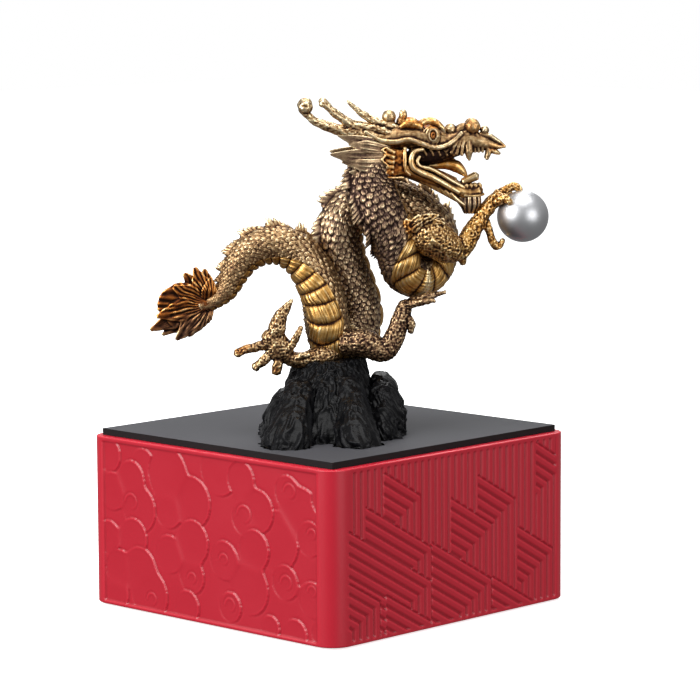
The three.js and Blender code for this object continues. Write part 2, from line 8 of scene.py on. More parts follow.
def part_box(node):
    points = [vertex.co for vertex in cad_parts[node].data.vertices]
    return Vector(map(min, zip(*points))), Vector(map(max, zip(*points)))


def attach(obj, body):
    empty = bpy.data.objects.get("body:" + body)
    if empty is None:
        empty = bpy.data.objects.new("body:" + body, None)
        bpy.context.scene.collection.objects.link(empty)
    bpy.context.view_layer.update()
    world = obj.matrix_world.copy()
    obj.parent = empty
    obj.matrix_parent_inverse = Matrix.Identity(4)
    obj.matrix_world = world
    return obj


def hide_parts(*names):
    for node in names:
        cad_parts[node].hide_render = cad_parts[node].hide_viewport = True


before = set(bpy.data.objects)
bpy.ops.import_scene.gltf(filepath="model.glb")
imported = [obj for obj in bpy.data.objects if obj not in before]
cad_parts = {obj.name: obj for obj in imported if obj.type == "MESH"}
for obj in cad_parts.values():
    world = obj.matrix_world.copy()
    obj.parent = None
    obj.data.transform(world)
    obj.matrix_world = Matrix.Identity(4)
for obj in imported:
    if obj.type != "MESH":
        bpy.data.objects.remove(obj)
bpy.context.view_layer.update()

# The four feet: soft black rubber discs, punched from sheet and pressed into shallow recesses in the
# floor panel. Rubber is dull, with a faint mottle where it has picked up dust.


def linear(code):
    """An sRGB hex colour as linear RGBA."""
    parts = [int(code[i : i + 2], 16) / 255 for i in (1, 3, 5)]
    return [c / 12.92 if c <= 0.04045 else ((c + 0.055) / 1.055) ** 2.4 for c in parts] + [1.0]


def add(material, kind, inputs, **properties):
    """A shader node of a material or world. An input that is given a socket is linked to it."""
    node = material.node_tree.nodes.new("ShaderNode" + kind)
    for name, value in properties.items():
        setattr(node, name, value)
    for name, value in inputs.items():
        if isinstance(value, bpy.types.NodeSocket):
            material.node_tree.links.new(value, node.inputs[name])
        else:
            node.inputs[name].default_value = value
    return node


def new_material(name):
    """A material with an empty node tree."""
    material = bpy.data.materials.new(name)
    material.use_nodes = True
    material.node_tree.nodes.clear()
    return material


def per_mm(size):
    """The scale of a pattern whose grains are this many millimetres across."""
    return 1000 / size


moulded_rubber = new_material("moulded_rubber")
place = add(moulded_rubber, "TexCoord", {})
dust = add(moulded_rubber, "TexNoise", {"Vector": place.outputs["Object"], "Scale": per_mm(1.2)})
tone = add(
    moulded_rubber,
    "MixRGB",
    {"Fac": dust.outputs["Fac"], "Color1": linear("#101010"), "Color2": linear("#1D1C1B")},
)
pores = add(moulded_rubber, "Bump", {"Height": dust.outputs["Fac"], "Strength": 0.4, "Distance": 0.0001})
shader = add(
    moulded_rubber,
    "BsdfPrincipled",
    {"Base Color": tone.outputs["Color"], "Roughness": 0.85, "Normal": pores.outputs["Normal"]},
)
add(moulded_rubber, "OutputMaterial", {"Surface": shader.outputs["BSDF"]})

CORNERS = ("right_back", "left_back", "left_front", "right_front")


def refinish(node_name, material, rounding=0.0):
    """A carried-over CAD piece gets its finish, and its sharp edges are broken by `rounding` mm."""
    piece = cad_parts[node_name]
    piece.data.materials.clear()
    piece.data.materials.append(material)
    if rounding:
        edge = piece.modifiers.new("broken_edge", "BEVEL")
        edge.width = rounding / 1000
        edge.segments = 2
        edge.limit_method = "ANGLE"
        edge.angle_limit = math.radians(50)


for corner in CORNERS:
    refinish(f"foot_{corner}", moulded_rubber, 0.25)

# The floor panel and the locating frame under the lid: black-stained fibreboard, sawn and sanded. It is
# matt, with short pressed fibres that show as fine flecks.
stained_board = new_material("stained_fibreboard")
place = add(stained_board, "TexCoord", {})
fibres = add(
    stained_board,
    "TexNoise",
    {"Vector": place.outputs["Object"], "Scale": per_mm(0.9), "Detail": 6.0, "Roughness": 0.7},
)
tone = add(
    stained_board,
    "MixRGB",
    {"Fac": fibres.outputs["Fac"], "Color1": linear("#131211"), "Color2": linear("#2A2725")},
)
nap = add(stained_board, "Bump", {"Height": fibres.outputs["Fac"], "Strength": 0.35, "Distance": 0.0001})
shader = add(
    stained_board,
    "BsdfPrincipled",
    {"Base Color": tone.outputs["Color"], "Roughness": 0.8, "Normal": nap.outputs["Normal"]},
)
add(stained_board, "OutputMaterial", {"Surface": shader.outputs["BSDF"]})
refinish("floor_panel", stained_board, 0.3)
refinish("lid_locating_frame", stained_board, 0.4)

# Screws, washers and pins: zinc-plated steel, turned and tumbled. The plating is bright but uneven, with
# a fine tumbled grain.
zinc_steel = new_material("zinc_plated_steel")
place = add(zinc_steel, "TexCoord", {})
plating = add(
    zinc_steel, "TexNoise", {"Vector": place.outputs["Object"], "Scale": per_mm(1.5), "Detail": 5.0}
)
tone = add(
    zinc_steel,
    "MixRGB",
    {"Fac": plating.outputs["Fac"], "Color1": linear("#8F9193"), "Color2": linear("#C4C5C4")},
)
dulling = add(
    zinc_steel, "MapRange", {"Value": plating.outputs["Fac"], "To Min": 0.28, "To Max": 0.5}
)
shader = add(
    zinc_steel,
    "BsdfPrincipled",
    {"Base Color": tone.outputs["Color"], "Metallic": 1.0, "Roughness": dulling.outputs["Result"]},
)
add(zinc_steel, "OutputMaterial", {"Surface": shader.outputs["BSDF"]})
for corner in CORNERS:
    refinish(f"floor_screw_{corner}", zinc_steel)
for number in (1, 2, 3):
    refinish(f"rock_screw_{number}", zinc_steel, 0.12)
    refinish(f"rock_washer_{number}", zinc_steel, 0.1)
PINS = ("hip", "arch", "neck", "head", "tail", "ball_arm", "folded_arm", "spread_leg", "raised_leg")
for name in [f"{p}_pin" for p in PINS] + ["front_anchor", "rear_anchor", "pearl_stud"]:
    refinish(name, zinc_steel)

# The lining: a tray of card covered in black flock, dropped into the case. Flock is a short upright pile,
# so it is very dark and lightens a little where it is seen at a slant. Its grain is drawn coarse, at
# 0.5 mm, so that it shows.
flocked_card = new_material("flocked_card")
place = add(flocked_card, "TexCoord", {})
pile = add(flocked_card, "TexNoise", {"Vector": place.outputs["Object"], "Scale": per_mm(0.5), "Detail": 3.0})
brushing = add(flocked_card, "TexNoise", {"Vector": place.outputs["Object"], "Scale": per_mm(18)})
tone = add(
    flocked_card,
    "MixRGB",
    {"Fac": brushing.outputs["Fac"], "Color1": linear("#17171A"), "Color2": linear("#26262B")},
)
fuzz = add(flocked_card, "Bump", {"Height": pile.outputs["Fac"], "Strength": 0.6, "Distance": 0.0003})
shader = add(
    flocked_card,
    "BsdfPrincipled",
    {
        "Base Color": tone.outputs["Color"],
        "Roughness": 0.95,
        "Sheen Weight": 0.4,
        "Normal": fuzz.outputs["Normal"],
    },
)
add(flocked_card, "OutputMaterial", {"Surface": shader.outputs["BSDF"]})
refinish("lining_tray", flocked_card, 0.4)

# The case walls: one ring of fibreboard, routed all round and sprayed with red lacquer. Two opposite
# sides carry overlapping cloud scrolls, the other two stepped ribs. Sprayed lacquer is satin and rounds
# every edge, with a very fine orange-peel. The carving's hollows are painted a deeper red as painted
# shade, and its crisp edges a brighter red as a painted highlight.
CLOUDS = (  # lobes along the side, up it, and radius, in mm; each cloud lies over those before it
    ((-66, 71, 8), (-43, 68, 8.5), (-34.5, 55, 9)),
    ((-26, 66, 13), (-10, 55, 12), (-26, 50, 9)),
    ((44, 44, 14), (60, 58, 12), (51, 67, 7.5)),
    ((8, 72, 12),),
    ((-64, 54, 9), (-51, 61, 9), (-45.5, 47.5, 11)),
    ((22, 69, 8.5), (32.5, 56, 10), (24, 52, 8)),
    ((75, 67, 9), (78, 76, 8)),
    ((-67, 32, 8), (-50, 33.5, 9.5)),
    ((-26, 29, 9), (-10, 36.5, 10.5), (-10.5, 20.5, 8)),
    ((65, 47.5, 8), (78, 30, 8)),
    ((30, 38, 9.5), (10.5, 31, 9), (27, 20, 12)),
    ((-60, 18, 9), (-62, 5, 8), (-45.5, 19, 11), (-39, 8, 12)),
    ((49.5, 26, 8), (66, 20.5, 8), (72, 6, 6), (55.5, 3, 7.5)),
    ((-14, 6, 8),),
    ((14.5, 10, 7), (40, 4, 6)),
)
CLOUD_CURLS = ((-51, 50, 4.5), (24, 53, 5), (66.5, 49.5, 2.8), (10.5, 31, 3), (-10.5, 19.5, 3),
               (50.5, 25.5, 4), (66.5, 24, 3), (-37.5, 6, 3.5), (14.5, 10.5, 3.8), (53, 67, 4))
CLOUD_MELT = 1.4  # how softly the lobes of one cloud run together
CURL_WIDTH = 0.45
RIB_PITCH = 4.4
RIB_DEPTH = 0.95
RIB_SLOPE = math.radians(29)
RIB_START = -70.6  # where the upright ribs are counted from, along the side
RIB_STEPS = (  # left edge, top, width, in mm; each step lies over those before it
    (55.6, 77, 22), (-47, 75, 24), (15, 66.5, 26), (-59.3, 61.3, 43.4), (-3, 58, 28.5), (-70.6, 52, 54.7),
    (-16, 39.4, 41), (42.5, 39.2, 26), (-70.6, 29, 21), (-46.3, 20, 30), (25, 18, 38),
)
CORNER_RADIUS = 10
CORNER_STEPS = 12
CASE_GRID = 0.5  # mm between points of the carving
BORDER = 1.6  # left plain along the top and bottom edges
RIM_ROUNDING = 0.35
FIT = 0.3  # clearance round the lining and the floor panel


def smoothstep(low, high, value):
    """From 0 at low to 1 at high, with no corner at either end."""
    share = np.clip((value - low) / (high - low), 0, 1)
    return share * share * (3 - 2 * share)


def cloud_relief(u, z):
    """The height of a clouded side. Each lobe tilts up to one rim, and only that rim has a lip."""
    depth = -0.75 + 0.12 * np.sin(u / 9) * np.cos(z / 7)
    for cloud in CLOUDS:
        pulls = tilt = 0
        for cu, cz, radius in cloud:
            pull = np.exp(np.clip((radius - np.hypot(u - cu, z - cz)) / CLOUD_MELT, -40, 12))
            pulls = pulls + pull
            tilt = tilt + pull * (0.8 * (u - cu) + 0.25 * (z - cz)) / radius
        tilt = np.clip(tilt / pulls, -1, 1.1)
        inside = CLOUD_MELT * np.log(pulls)
        facing = smoothstep(-0.35, 0.5, tilt)
        crown = -0.6 + 0.34 * tilt - 0.02 * np.minimum(inside, 6)
        lip = 0.13 * np.exp(-(((inside - 0.6) / 0.45) ** 2)) * facing
        foot = 0.2 * smoothstep(-1.6, 0, inside) * facing
        depth = np.where(inside > 0, crown + lip, depth - foot)
    for cu, cz, radius in CLOUD_CURLS:
        away = np.hypot(u - cu, z - cz)
        turn = np.arctan2(z - cz, u - cu)
        coil = radius * (0.72 + 0.28 * turn / np.pi)
        begun = smoothstep(-2.4, 0.6, turn)
        depth += 0.22 * begun * np.exp(-(((away - coil) / CURL_WIDTH) ** 2))
        depth -= 0.14 * begun * np.exp(-(((away - coil - 0.9) / 0.5) ** 2))
    return np.clip(depth, -1.5, -0.02)


def rib_relief(u, z):
    """The height of a ribbed side: upright ribs, with steps laid over them whose ribs follow their edges."""
    across = u - RIB_START
    for left, top, width in RIB_STEPS:
        below = (top - z - (u - left) * math.tan(RIB_SLOPE)) * math.cos(RIB_SLOPE)
        right = left + width - u
        inside = (u > left) & (below > 0) & (right > 0)
        across = np.where(inside, np.minimum(below, right), across)
    phase = np.abs((across / RIB_PITCH) % 1 - 0.5) * 2
    return -RIB_DEPTH * smoothstep(0.54, 0.86, phase)


def ring_faces(rows, columns, closed_rows=False):
    """Quads over a grid of points that closes round its columns."""
    row = np.arange(rows if closed_rows else rows - 1)[:, None]
    column = np.arange(columns)[None, :]
    after, up = (column + 1) % columns, (row + 1) % rows
    quads = [row * columns + column, row * columns + after, up * columns + after, up * columns + column]
    return np.stack(quads, -1).reshape(-1, 4)


def make(name, points, faces, material, body, stands_for):
    """A piece from points in mm, which takes the place of one carried-over CAD piece."""
    mesh = bpy.data.meshes.new(name)
    mesh.from_pydata((np.asarray(points) * 0.001).tolist(), [], faces)
    mesh.update()
    mesh.shade_smooth()
    mesh.materials.append(material)
    piece = bpy.data.objects.new(name, mesh)
    bpy.context.collection.objects.link(piece)
    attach(piece, body)
    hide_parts(stands_for)
    return piece


def mm_box(node_name):
    """The lowest and highest corner of a CAD piece, in mm."""
    low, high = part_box(node_name)
    return np.array(low) * 1000, np.array(high) * 1000


def case_outline(flat, half):
    """Points round the case's outline, with the side that each is on and its place along that side."""
    run = np.linspace(-flat, flat, int(2 * flat / CASE_GRID) + 1)
    points, sides, along = [], [], []
    for side in range(4):
        turn = side * np.pi / 2  # side 0 faces -Y, side 1 faces +X
        c, s = np.cos(turn), np.sin(turn)
        points += [(c * u + s * half, s * u - c * half) for u in run]
        sides += [side] * len(run)
        along += list(run)
        for step in range(1, CORNER_STEPS):
            angle = turn - np.pi / 2 + step / CORNER_STEPS * np.pi / 2
            cx, cy = c * flat + s * flat, s * flat - c * flat
            points.append((cx + CORNER_RADIUS * np.cos(angle), cy + CORNER_RADIUS * np.sin(angle)))
            sides.append(-1)
            along.append(0)
    return np.array(points), np.array(sides), np.array(along)


low, high = mm_box("case_walls")
half = high[0]
flat = half - CORNER_RADIUS
outline, side_of, along_side = case_outline(flat, half)
heights = np.linspace(low[2], high[2], int((high[2] - low[2]) / CASE_GRID) + 1)
up_side = heights - low[2]
normals = np.zeros_like(outline)
for side, normal in enumerate(((0, -1), (1, 0), (0, 1), (-1, 0))):
    normals[side_of == side] = normal
U, Z = np.meshgrid(along_side, up_side)
relief = np.zeros_like(U)
clouds = np.isin(side_of, (0, 2))
ribs = np.isin(side_of, (1, 3))
relief[:, clouds] = cloud_relief(U[:, clouds], Z[:, clouds])
relief[:, ribs] = rib_relief(U[:, ribs], Z[:, ribs])
plain = smoothstep(BORDER, BORDER + 0.5, Z) * smoothstep(BORDER, BORDER + 0.5, up_side[-1] - Z)
relief *= plain * smoothstep(flat, flat - 0.7, np.abs(U))
skin = np.empty((len(heights), len(outline), 3))
skin[:, :, :2] = outline + normals * relief[:, :, None]
skin[:, :, 2] = heights[:, None]


def squared(reach):
    """The outline pushed in to a square with this half side."""
    return outline * (reach / np.abs(outline).max(1))[:, None]


def level(xy, z):
    """The outline's points at one height."""
    return np.column_stack([xy, np.full(len(xy), z)])


mouth = mm_box("lining_tray")[1][0] + FIT
rebate = mm_box("floor_panel")[1][0] + FIT
panel_top = mm_box("floor_panel")[1][2] + 0.1
soft = outline * (1 - RIM_ROUNDING / half)
rows = [level(soft, low[2])] + list(skin[1:-1]) + [
    level(outline, high[2] - RIM_ROUNDING),
    level(outline * (1 - 0.1 / half), high[2] - 0.1),
    level(soft, high[2]),
    level(squared(mouth + 0.4), high[2]),
    level(squared(mouth), high[2] - 0.4),
    level(squared(mouth), panel_top),
    level(squared(rebate), panel_top),
    level(squared(rebate), low[2]),
]
points = np.concatenate(rows)
red_lacquer = new_material("sprayed_red_lacquer")
place = add(red_lacquer, "TexCoord", {})
peel = add(red_lacquer, "TexNoise", {"Vector": place.outputs["Object"], "Scale": per_mm(0.8), "Detail": 2.0})
spread = add(red_lacquer, "TexNoise", {"Vector": place.outputs["Object"], "Scale": per_mm(30)})
shape = add(red_lacquer, "NewGeometry", {})
# Painted shade and highlight: from the surface's pointiness, the red is deepest in the hollows of the carving
# and brightest on its crisp edges.
edge = add(
    red_lacquer,
    "MapRange",
    {"Value": shape.outputs["Pointiness"], "From Min": 0.46, "From Max": 0.56},
)
coat = add(
    red_lacquer,
    "MixRGB",
    {"Fac": spread.outputs["Fac"], "Color1": linear("#C2162C"), "Color2": linear("#CA1E34")},
)
tone = add(
    red_lacquer,
    "MixRGB",
    {"Fac": edge.outputs["Result"], "Color1": linear("#9C0A20"), "Color2": coat.outputs["Color"]},
)
dimple = add(red_lacquer, "Bump", {"Height": peel.outputs["Fac"], "Strength": 0.12, "Distance": 0.0001})
sheen = add(red_lacquer, "MapRange", {"Value": spread.outputs["Fac"], "To Min": 0.33, "To Max": 0.4})
shader = add(
    red_lacquer,
    "BsdfPrincipled",
    {
        "Base Color": tone.outputs["Color"],
        "Roughness": sheen.outputs["Result"],
        "Normal": dimple.outputs["Normal"],
        "IOR": 1.5,
    },
)
add(red_lacquer, "OutputMaterial", {"Surface": shader.outputs["BSDF"]})
make(
    "carved_case",
    points,
    ring_faces(len(rows), len(outline), closed_rows=True).tolist(),
    red_lacquer,
    "case",
    "case_walls",
)

# The lid plate: 3 mm steel sheet, laser-cut square and powder-coated black. The coat is matt with a fine
# grain, drawn at 0.6 mm so that it shows. Faces that look up are painted a lighter grey as a painted
# reflection of the sky, so the cut edges are darker than the top.
black_powder = new_material("black_powder_coat")
place = add(black_powder, "TexCoord", {})
grit = add(black_powder, "TexNoise", {"Vector": place.outputs["Object"], "Scale": per_mm(0.6), "Detail": 3.0})
cloudy = add(black_powder, "TexNoise", {"Vector": place.outputs["Object"], "Scale": per_mm(45)})
shape = add(black_powder, "NewGeometry", {})
lie = add(black_powder, "SeparateXYZ", {"Vector": shape.outputs["Normal"]})
# Painted reflection: faces that look upwards are painted a lighter grey than the rest of the black coat.
top = add(black_powder, "MapRange", {"Value": lie.outputs["Z"], "From Min": 0.5, "From Max": 0.95})
face = add(
    black_powder,
    "MixRGB",
    {"Fac": cloudy.outputs["Fac"], "Color1": linear("#3A3A3E"), "Color2": linear("#424246")},
)
tone = add(
    black_powder,
    "MixRGB",
    {"Fac": top.outputs["Result"], "Color1": linear("#0C0C0D"), "Color2": face.outputs["Color"]},
)
grain = add(black_powder, "Bump", {"Height": grit.outputs["Fac"], "Strength": 0.2, "Distance": 0.0001})
shader = add(
    black_powder,
    "BsdfPrincipled",
    {
        "Base Color": tone.outputs["Color"],
        "Roughness": 0.72,
        "Specular IOR Level": 0.25,
        "Normal": grain.outputs["Normal"],
    },
)
add(black_powder, "OutputMaterial", {"Surface": shader.outputs["BSDF"]})
refinish("lid_plate", black_powder, 0.2)

# The rock: one metal casting, painted gloss black and screwed down through the lid. It is shaped like a
# weathered crag, with spurs round its foot and upright folds and flutes. Each ridge is painted a little
# lighter as a painted highlight, and each hollow darker as painted shade.
lid_top = mm_box("lid_plate")[1][2]
FORWARD = 4.0  # from the lid's centre to the figure's, towards the near corner


def on_lid(points):
    """From the figure's own frame to the part's: +X is the way the dragon looks, z = 0 is the lid's top."""
    p = np.asarray(points, float)
    x, y, z = p[..., 0], p[..., 1], p[..., 2]
    c = math.sqrt(0.5)
    shift = FORWARD * c
    return np.stack([c * (x - y) + shift, c * (x + y) - shift, z + lid_top], -1)


LATTICE = np.random.default_rng(7).random((4096, 3))


def lattice(cells, seed):
    """Three random numbers for each whole-number cell, always the same."""
    c = cells.astype(np.int64)  # hashed with large primes, so that no pattern shows
    index = (c[..., 0] * 73856093) ^ (c[..., 1] * 19349663) ^ (c[..., 2] * 83492791) ^ (seed * 2654435761)
    return LATTICE[index % len(LATTICE)]


def grain_at(points, size, seed):
    """Smooth noise from -1 to 1 with grains of this size. The size may differ along x, y and z."""
    p = np.asarray(points) / np.asarray(size)
    cell = np.floor(p)
    share = p - cell
    share = share * share * (3 - 2 * share)
    total = 0
    for corner in np.ndindex(2, 2, 2):
        weight = np.prod(np.where(np.array(corner) == 1, share, 1 - share), -1)
        total = total + weight * lattice(cell + corner, seed)[..., 0]
    return total * 2 - 1


def curve_at(points, stations):
    """Centripetal Catmull-Rom: places and directions at station numbers along a list of points."""
    p = np.asarray(points, float)
    p = np.vstack([2 * p[0] - p[1], p, 2 * p[-1] - p[-2]])
    s = np.clip(np.asarray(stations, float), 0, len(points) - 1)
    i = np.minimum(s.astype(int), len(points) - 2)
    t = (s - i)[:, None]
    a, b, c, d = p[i], p[i + 1], p[i + 2], p[i + 3]
    spans = ((a, b), (b, c), (c, d))
    ab, bc, cd = (np.maximum(np.sqrt(np.linalg.norm(v - u, axis=1)), 1e-6)[:, None] for u, v in spans)
    m1 = ((b - a) / ab - (c - a) / (ab + bc) + (c - b) / bc) * bc
    m2 = ((c - b) / bc - (d - b) / (bc + cd) + (d - c) / cd) * bc
    k2, k3 = -3 * b + 3 * c - 2 * m1 - m2, 2 * b - 2 * c + m1 + m2
    at = b + m1 * t + k2 * t**2 + k3 * t**3
    way = m1 + 2 * k2 * t + 3 * k3 * t**2
    return at, way / np.maximum(np.linalg.norm(way, axis=1), 1e-9)[:, None]


def fuse(shells, voxel, smoothing):
    """Closed shells run together into one cast skin, in mm."""
    points, faces, count = [], [], 0
    for p, f in shells:
        points.append(p)
        faces += [[v + count for v in face] for face in f]
        count += len(p)
    mesh = bpy.data.meshes.new("wax")
    mesh.from_pydata(np.concatenate(points).tolist(), [], faces)
    wax = bpy.data.objects.new("wax", mesh)
    bpy.context.collection.objects.link(wax)
    remesh = wax.modifiers.new("remesh", "REMESH")
    remesh.mode = "VOXEL"
    remesh.voxel_size = voxel
    smooth = wax.modifiers.new("smooth", "SMOOTH")
    smooth.iterations = smoothing
    smooth.factor = 0.5
    made = bpy.data.meshes.new_from_object(wax.evaluated_get(bpy.context.evaluated_depsgraph_get()))
    p = np.empty(len(made.vertices) * 3)
    made.vertices.foreach_get("co", p)
    corner = np.empty(len(made.loops), int)
    made.loops.foreach_get("vertex_index", corner)
    quads = corner.reshape(-1, 4)
    bpy.data.objects.remove(wax)
    for used in (mesh, made):
        bpy.data.meshes.remove(used)
    return p.reshape(-1, 3), quads


def normals_of(points, quads):
    """The way each point of a skin of quads faces."""
    across = np.cross(points[quads[:, 2]] - points[quads[:, 0]], points[quads[:, 3]] - points[quads[:, 1]])
    total = np.zeros_like(points)
    for corner in range(4):
        for axis in range(3):
            total[:, axis] += np.bincount(quads[:, corner], across[:, axis], len(points))
    return total / np.maximum(np.linalg.norm(total, axis=1), 1e-12)[:, None]


def closed(rings, nose, tip):
    """Rings of points in a row, skinned and closed onto a point at each end."""
    rows, sides = rings.shape[:2]
    faces = ring_faces(rows, sides).tolist()
    last = rows * sides
    for j in range(sides):
        after = (j + 1) % sides
        faces.append([j, last, after])
        faces.append([last - sides + j, last - sides + after, last + 1])
    return np.concatenate([rings.reshape(-1, 3), [nose, tip]]), faces


def mound(stations):
    """A closed heap of level ovals through stations of [x, y, z, half width, half depth]."""
    s = np.linspace(0, len(stations) - 1, 6 * len(stations))
    at = curve_at([p[:3] for p in stations], s)[0]
    wide, deep = (np.interp(s, range(len(stations)), [p[k] for p in stations])[:, None] for k in (3, 4))
    angle = np.linspace(0, 2 * np.pi, 20, endpoint=False)
    x, y, z = at[:, :1], at[:, 1:2], at[:, 2:]
    rings = np.stack([x + wide * np.cos(angle), y + deep * np.sin(angle), z + 0 * angle], -1)
    return closed(rings, at[0], at[-1])


SPURS = (  # x, y, height, half width and half depth of each level; the core, then its spurs
    ((0, -12, -3, 29, 38), (0, -12, 3, 26, 36), (0, -9, 13, 21, 29), (0, -4, 24, 17.5, 23),
     (0.5, 0, 33, 15, 18)),
    ((-19.5, -51, -3, 11, 15), (-19, -50, 3, 9.5, 13.5), (-17.5, -43, 10, 8, 11), (-15, -32, 19, 6, 8),
     (-14, -25, 25, 3, 5)),
    ((11.5, -48, -3, 11, 14.5), (11.5, -47, 3, 9, 13), (11, -41, 10, 7.5, 10.5), (10, -30, 20, 5, 7),
     (8, -22, 27, 3, 4)),
    ((24.5, -16, -3, 10, 25), (24.5, -15, 3, 9, 23), (25, -12, 12, 8, 18), (24.5, -6, 22, 5, 11),
     (24, -3, 25.5, 2.4, 7)),
    ((-21, 8, -3, 9, 16), (-19, 8, 8, 7, 12), (-15, 7, 17, 5, 8), (-12, 7, 22, 3, 4)),
    ((12, 24, -3, 14, 14), (11, 22, 8, 11, 11), (9, 19, 18, 8, 8), (8, 17, 25, 4, 5)),
    ((-24, -22, -3, 6.5, 18), (-23.5, -20, 8, 5.4, 14), (-21.5, -15, 17, 3.4, 8), (-20.5, -13, 20, 1.8, 4)),
)
points, quads = fuse([mound(spur) for spur in SPURS], voxel=0.5, smoothing=3)
out = normals_of(points, quads)
steep = 1 - np.abs(out[:, 2])  # the folds run down the flanks and fade where the rock lies level
spread = 1 + np.maximum(points[:, 2], 0) / 34
flow = np.column_stack([points[:, 0] * spread, (points[:, 1] + 12) * spread, points[:, 2]])
folds = 1 - 2 * np.abs(grain_at(flow, (6.5, 6.5, 46), 1))
flutes = 1 - 2 * np.abs(grain_at(flow, (2.6, 2.6, 15), 2))
patches = 0.5 + 0.5 * grain_at(points, 9, 3)
relief = 1.8 * folds + 2.9 * flutes * patches + 0.6 * grain_at(points, (1.8, 1.8, 4.5), 4)
points = points + out * (relief * (0.25 + 0.75 * steep))[:, None]
points[:, 2] = np.maximum(points[:, 2], 0.1)
gloss_rock = new_material("gloss_painted_metal")
place = add(gloss_rock, "TexCoord", {})
pits = add(gloss_rock, "TexNoise", {"Vector": place.outputs["Object"], "Scale": per_mm(0.9), "Detail": 4.0})
shape = add(gloss_rock, "NewGeometry", {})
# Painted highlight and shade: from the pointiness, ridges get the lighter black and hollows the darker one.
crest = add(
    gloss_rock, "MapRange", {"Value": shape.outputs["Pointiness"], "From Min": 0.48, "From Max": 0.6}
)
tone = add(
    gloss_rock,
    "MixRGB",
    {"Fac": crest.outputs["Result"], "Color1": linear("#060607"), "Color2": linear("#131316")},
)
rough = add(gloss_rock, "MapRange", {"Value": pits.outputs["Fac"], "To Min": 0.2, "To Max": 0.36})
brush = add(gloss_rock, "Bump", {"Height": pits.outputs["Fac"], "Strength": 0.35, "Distance": 0.0003})
shader = add(
    gloss_rock,
    "BsdfPrincipled",
    {
        "Base Color": tone.outputs["Color"],
        "Roughness": rough.outputs["Result"],
        "Specular IOR Level": 0.09,
        "Normal": brush.outputs["Normal"],
    },
)
add(gloss_rock, "OutputMaterial", {"Surface": shader.outputs["BSDF"]})
make("crag", on_lid(points), quads.tolist(), gloss_rock, "lid", "rock")

# The dragon: bronze castings, patinated dark purple-brown and then rubbed back. Hollows stay nearly
# black, crests shine cream-gold, the belly plates are washed gold and the brow, tail fin and tongue
# amber. The grain of the cast skin is drawn at 0.5 mm, coarse enough to show.
TONES = (  # from hollow to crest, for bronze that is left plain, washed gold or washed amber
    ((0.24, "#271C19"), (0.42, "#54423C"), (0.58, "#7E6855"), (0.76, "#AA9072"), (0.98, "#DCC7A2")),
    ((0.2, "#34211A"), (0.36, "#79532C"), (0.52, "#B58744"), (0.72, "#D3AC6C"), (0.95, "#E9D2A4")),
    ((0.22, "#1E110B"), (0.4, "#5C2F14"), (0.56, "#9C581F"), (0.76, "#CC8F45"), (0.95, "#E8C48A")),
)
bronze = new_material("patinated_bronze")
place = add(bronze, "TexCoord", {})
worn_at = add(bronze, "Attribute", {}, attribute_name="worn").outputs["Fac"]
gold_at = add(bronze, "Attribute", {}, attribute_name="gold").outputs["Fac"]
amber_at = add(bronze, "Attribute", {}, attribute_name="amber").outputs["Fac"]
stain = add(bronze, "TexNoise", {"Vector": place.outputs["Object"], "Scale": per_mm(4), "Detail": 4.0})
stained = add(
    bronze,
    "MapRange",
    {"Value": stain.outputs["Fac"], "From Min": 0.3, "From Max": 0.7, "To Min": -0.13, "To Max": 0.13},
)
rubbed = add(bronze, "Math", {0: worn_at, 1: stained.outputs["Result"]}, operation="ADD", use_clamp=True)
rubbed = rubbed.outputs["Value"]
tones = []
for stops in TONES:
    tone = add(bronze, "ValToRGB", {"Fac": rubbed})
    for _ in stops[2:]:
        tone.color_ramp.elements.new(0.5)
    for element, (position, code) in zip(tone.color_ramp.elements, stops):
        element.position = position
        element.color = linear(code)
    tones.append(tone.outputs["Color"])
plain_tone, gold_tone, amber_tone = tones
washed = add(bronze, "MixRGB", {"Fac": gold_at, "Color1": plain_tone, "Color2": gold_tone})
tinted = add(bronze, "MixRGB", {"Fac": amber_at, "Color1": washed.outputs["Color"], "Color2": amber_tone})
polish = add(
    bronze, "MapRange", {"Value": rubbed, "From Min": 0.25, "From Max": 0.95, "To Min": 0.56, "To Max": 0.3}
)
file_marks = add(bronze, "TexNoise", {"Vector": place.outputs["Object"], "Scale": per_mm(0.5), "Detail": 3.0})
cast_skin = add(bronze, "Bump", {"Height": file_marks.outputs["Fac"], "Strength": 0.35, "Distance": 0.0002})
shader = add(
    bronze,
    "BsdfPrincipled",
    {
        "Base Color": tinted.outputs["Color"],
        "Metallic": 1.0,
        "Roughness": polish.outputs["Result"],
        "Normal": cast_skin.outputs["Normal"],
    },
)
add(bronze, "OutputMaterial", {"Surface": shader.outputs["BSDF"]})


def relaxed(points, quads, times):
    """The points after each has moved to the middle of its neighbours this many times."""
    a = np.concatenate([quads[:, k] for k in range(4)])
    b = np.concatenate([quads[:, (k + 1) % 4] for k in range(4)])
    share = np.maximum(np.bincount(a, minlength=len(points)) + np.bincount(b, minlength=len(points)), 1)
    p = points.copy()
    for _ in range(times):
        for axis in range(3):
            q = p[:, axis]
            p[:, axis] = (np.bincount(a, q[b], len(p)) + np.bincount(b, q[a], len(p))) / share
    return p


def wear_of(points, quads, reach, depth):
    """From 0 in a hollow to 1 on a crest: how far each point stands off its smoothed surroundings."""
    off = np.einsum("ij,ij->i", points - relaxed(points, quads, reach), normals_of(points, quads))
    return np.clip(0.5 + off / depth, 0, 1)


def dress(piece, **layers):
    """Numbers on a piece's points, which the bronze shows as wear, gold wash and amber wash."""
    for label, values in layers.items():
        layer = piece.data.attributes.new(label, "FLOAT", "POINT")
        layer.data.foreach_set("value", (np.zeros(len(piece.data.vertices)) + values).astype(np.float32))


def cast(name, points, quads, stands_for, gold=0.0, amber=0.0, reach=6, depth=0.22, shade=0.0):
    """A bronze casting, from points in the figure's frame."""
    worn = np.clip(wear_of(points, quads, reach, depth) - shade, 0, 1)
    piece = make(name, on_lid(points), quads.tolist(), bronze, "lid", stands_for)
    dress(piece, worn=worn, gold=gold, amber=amber)


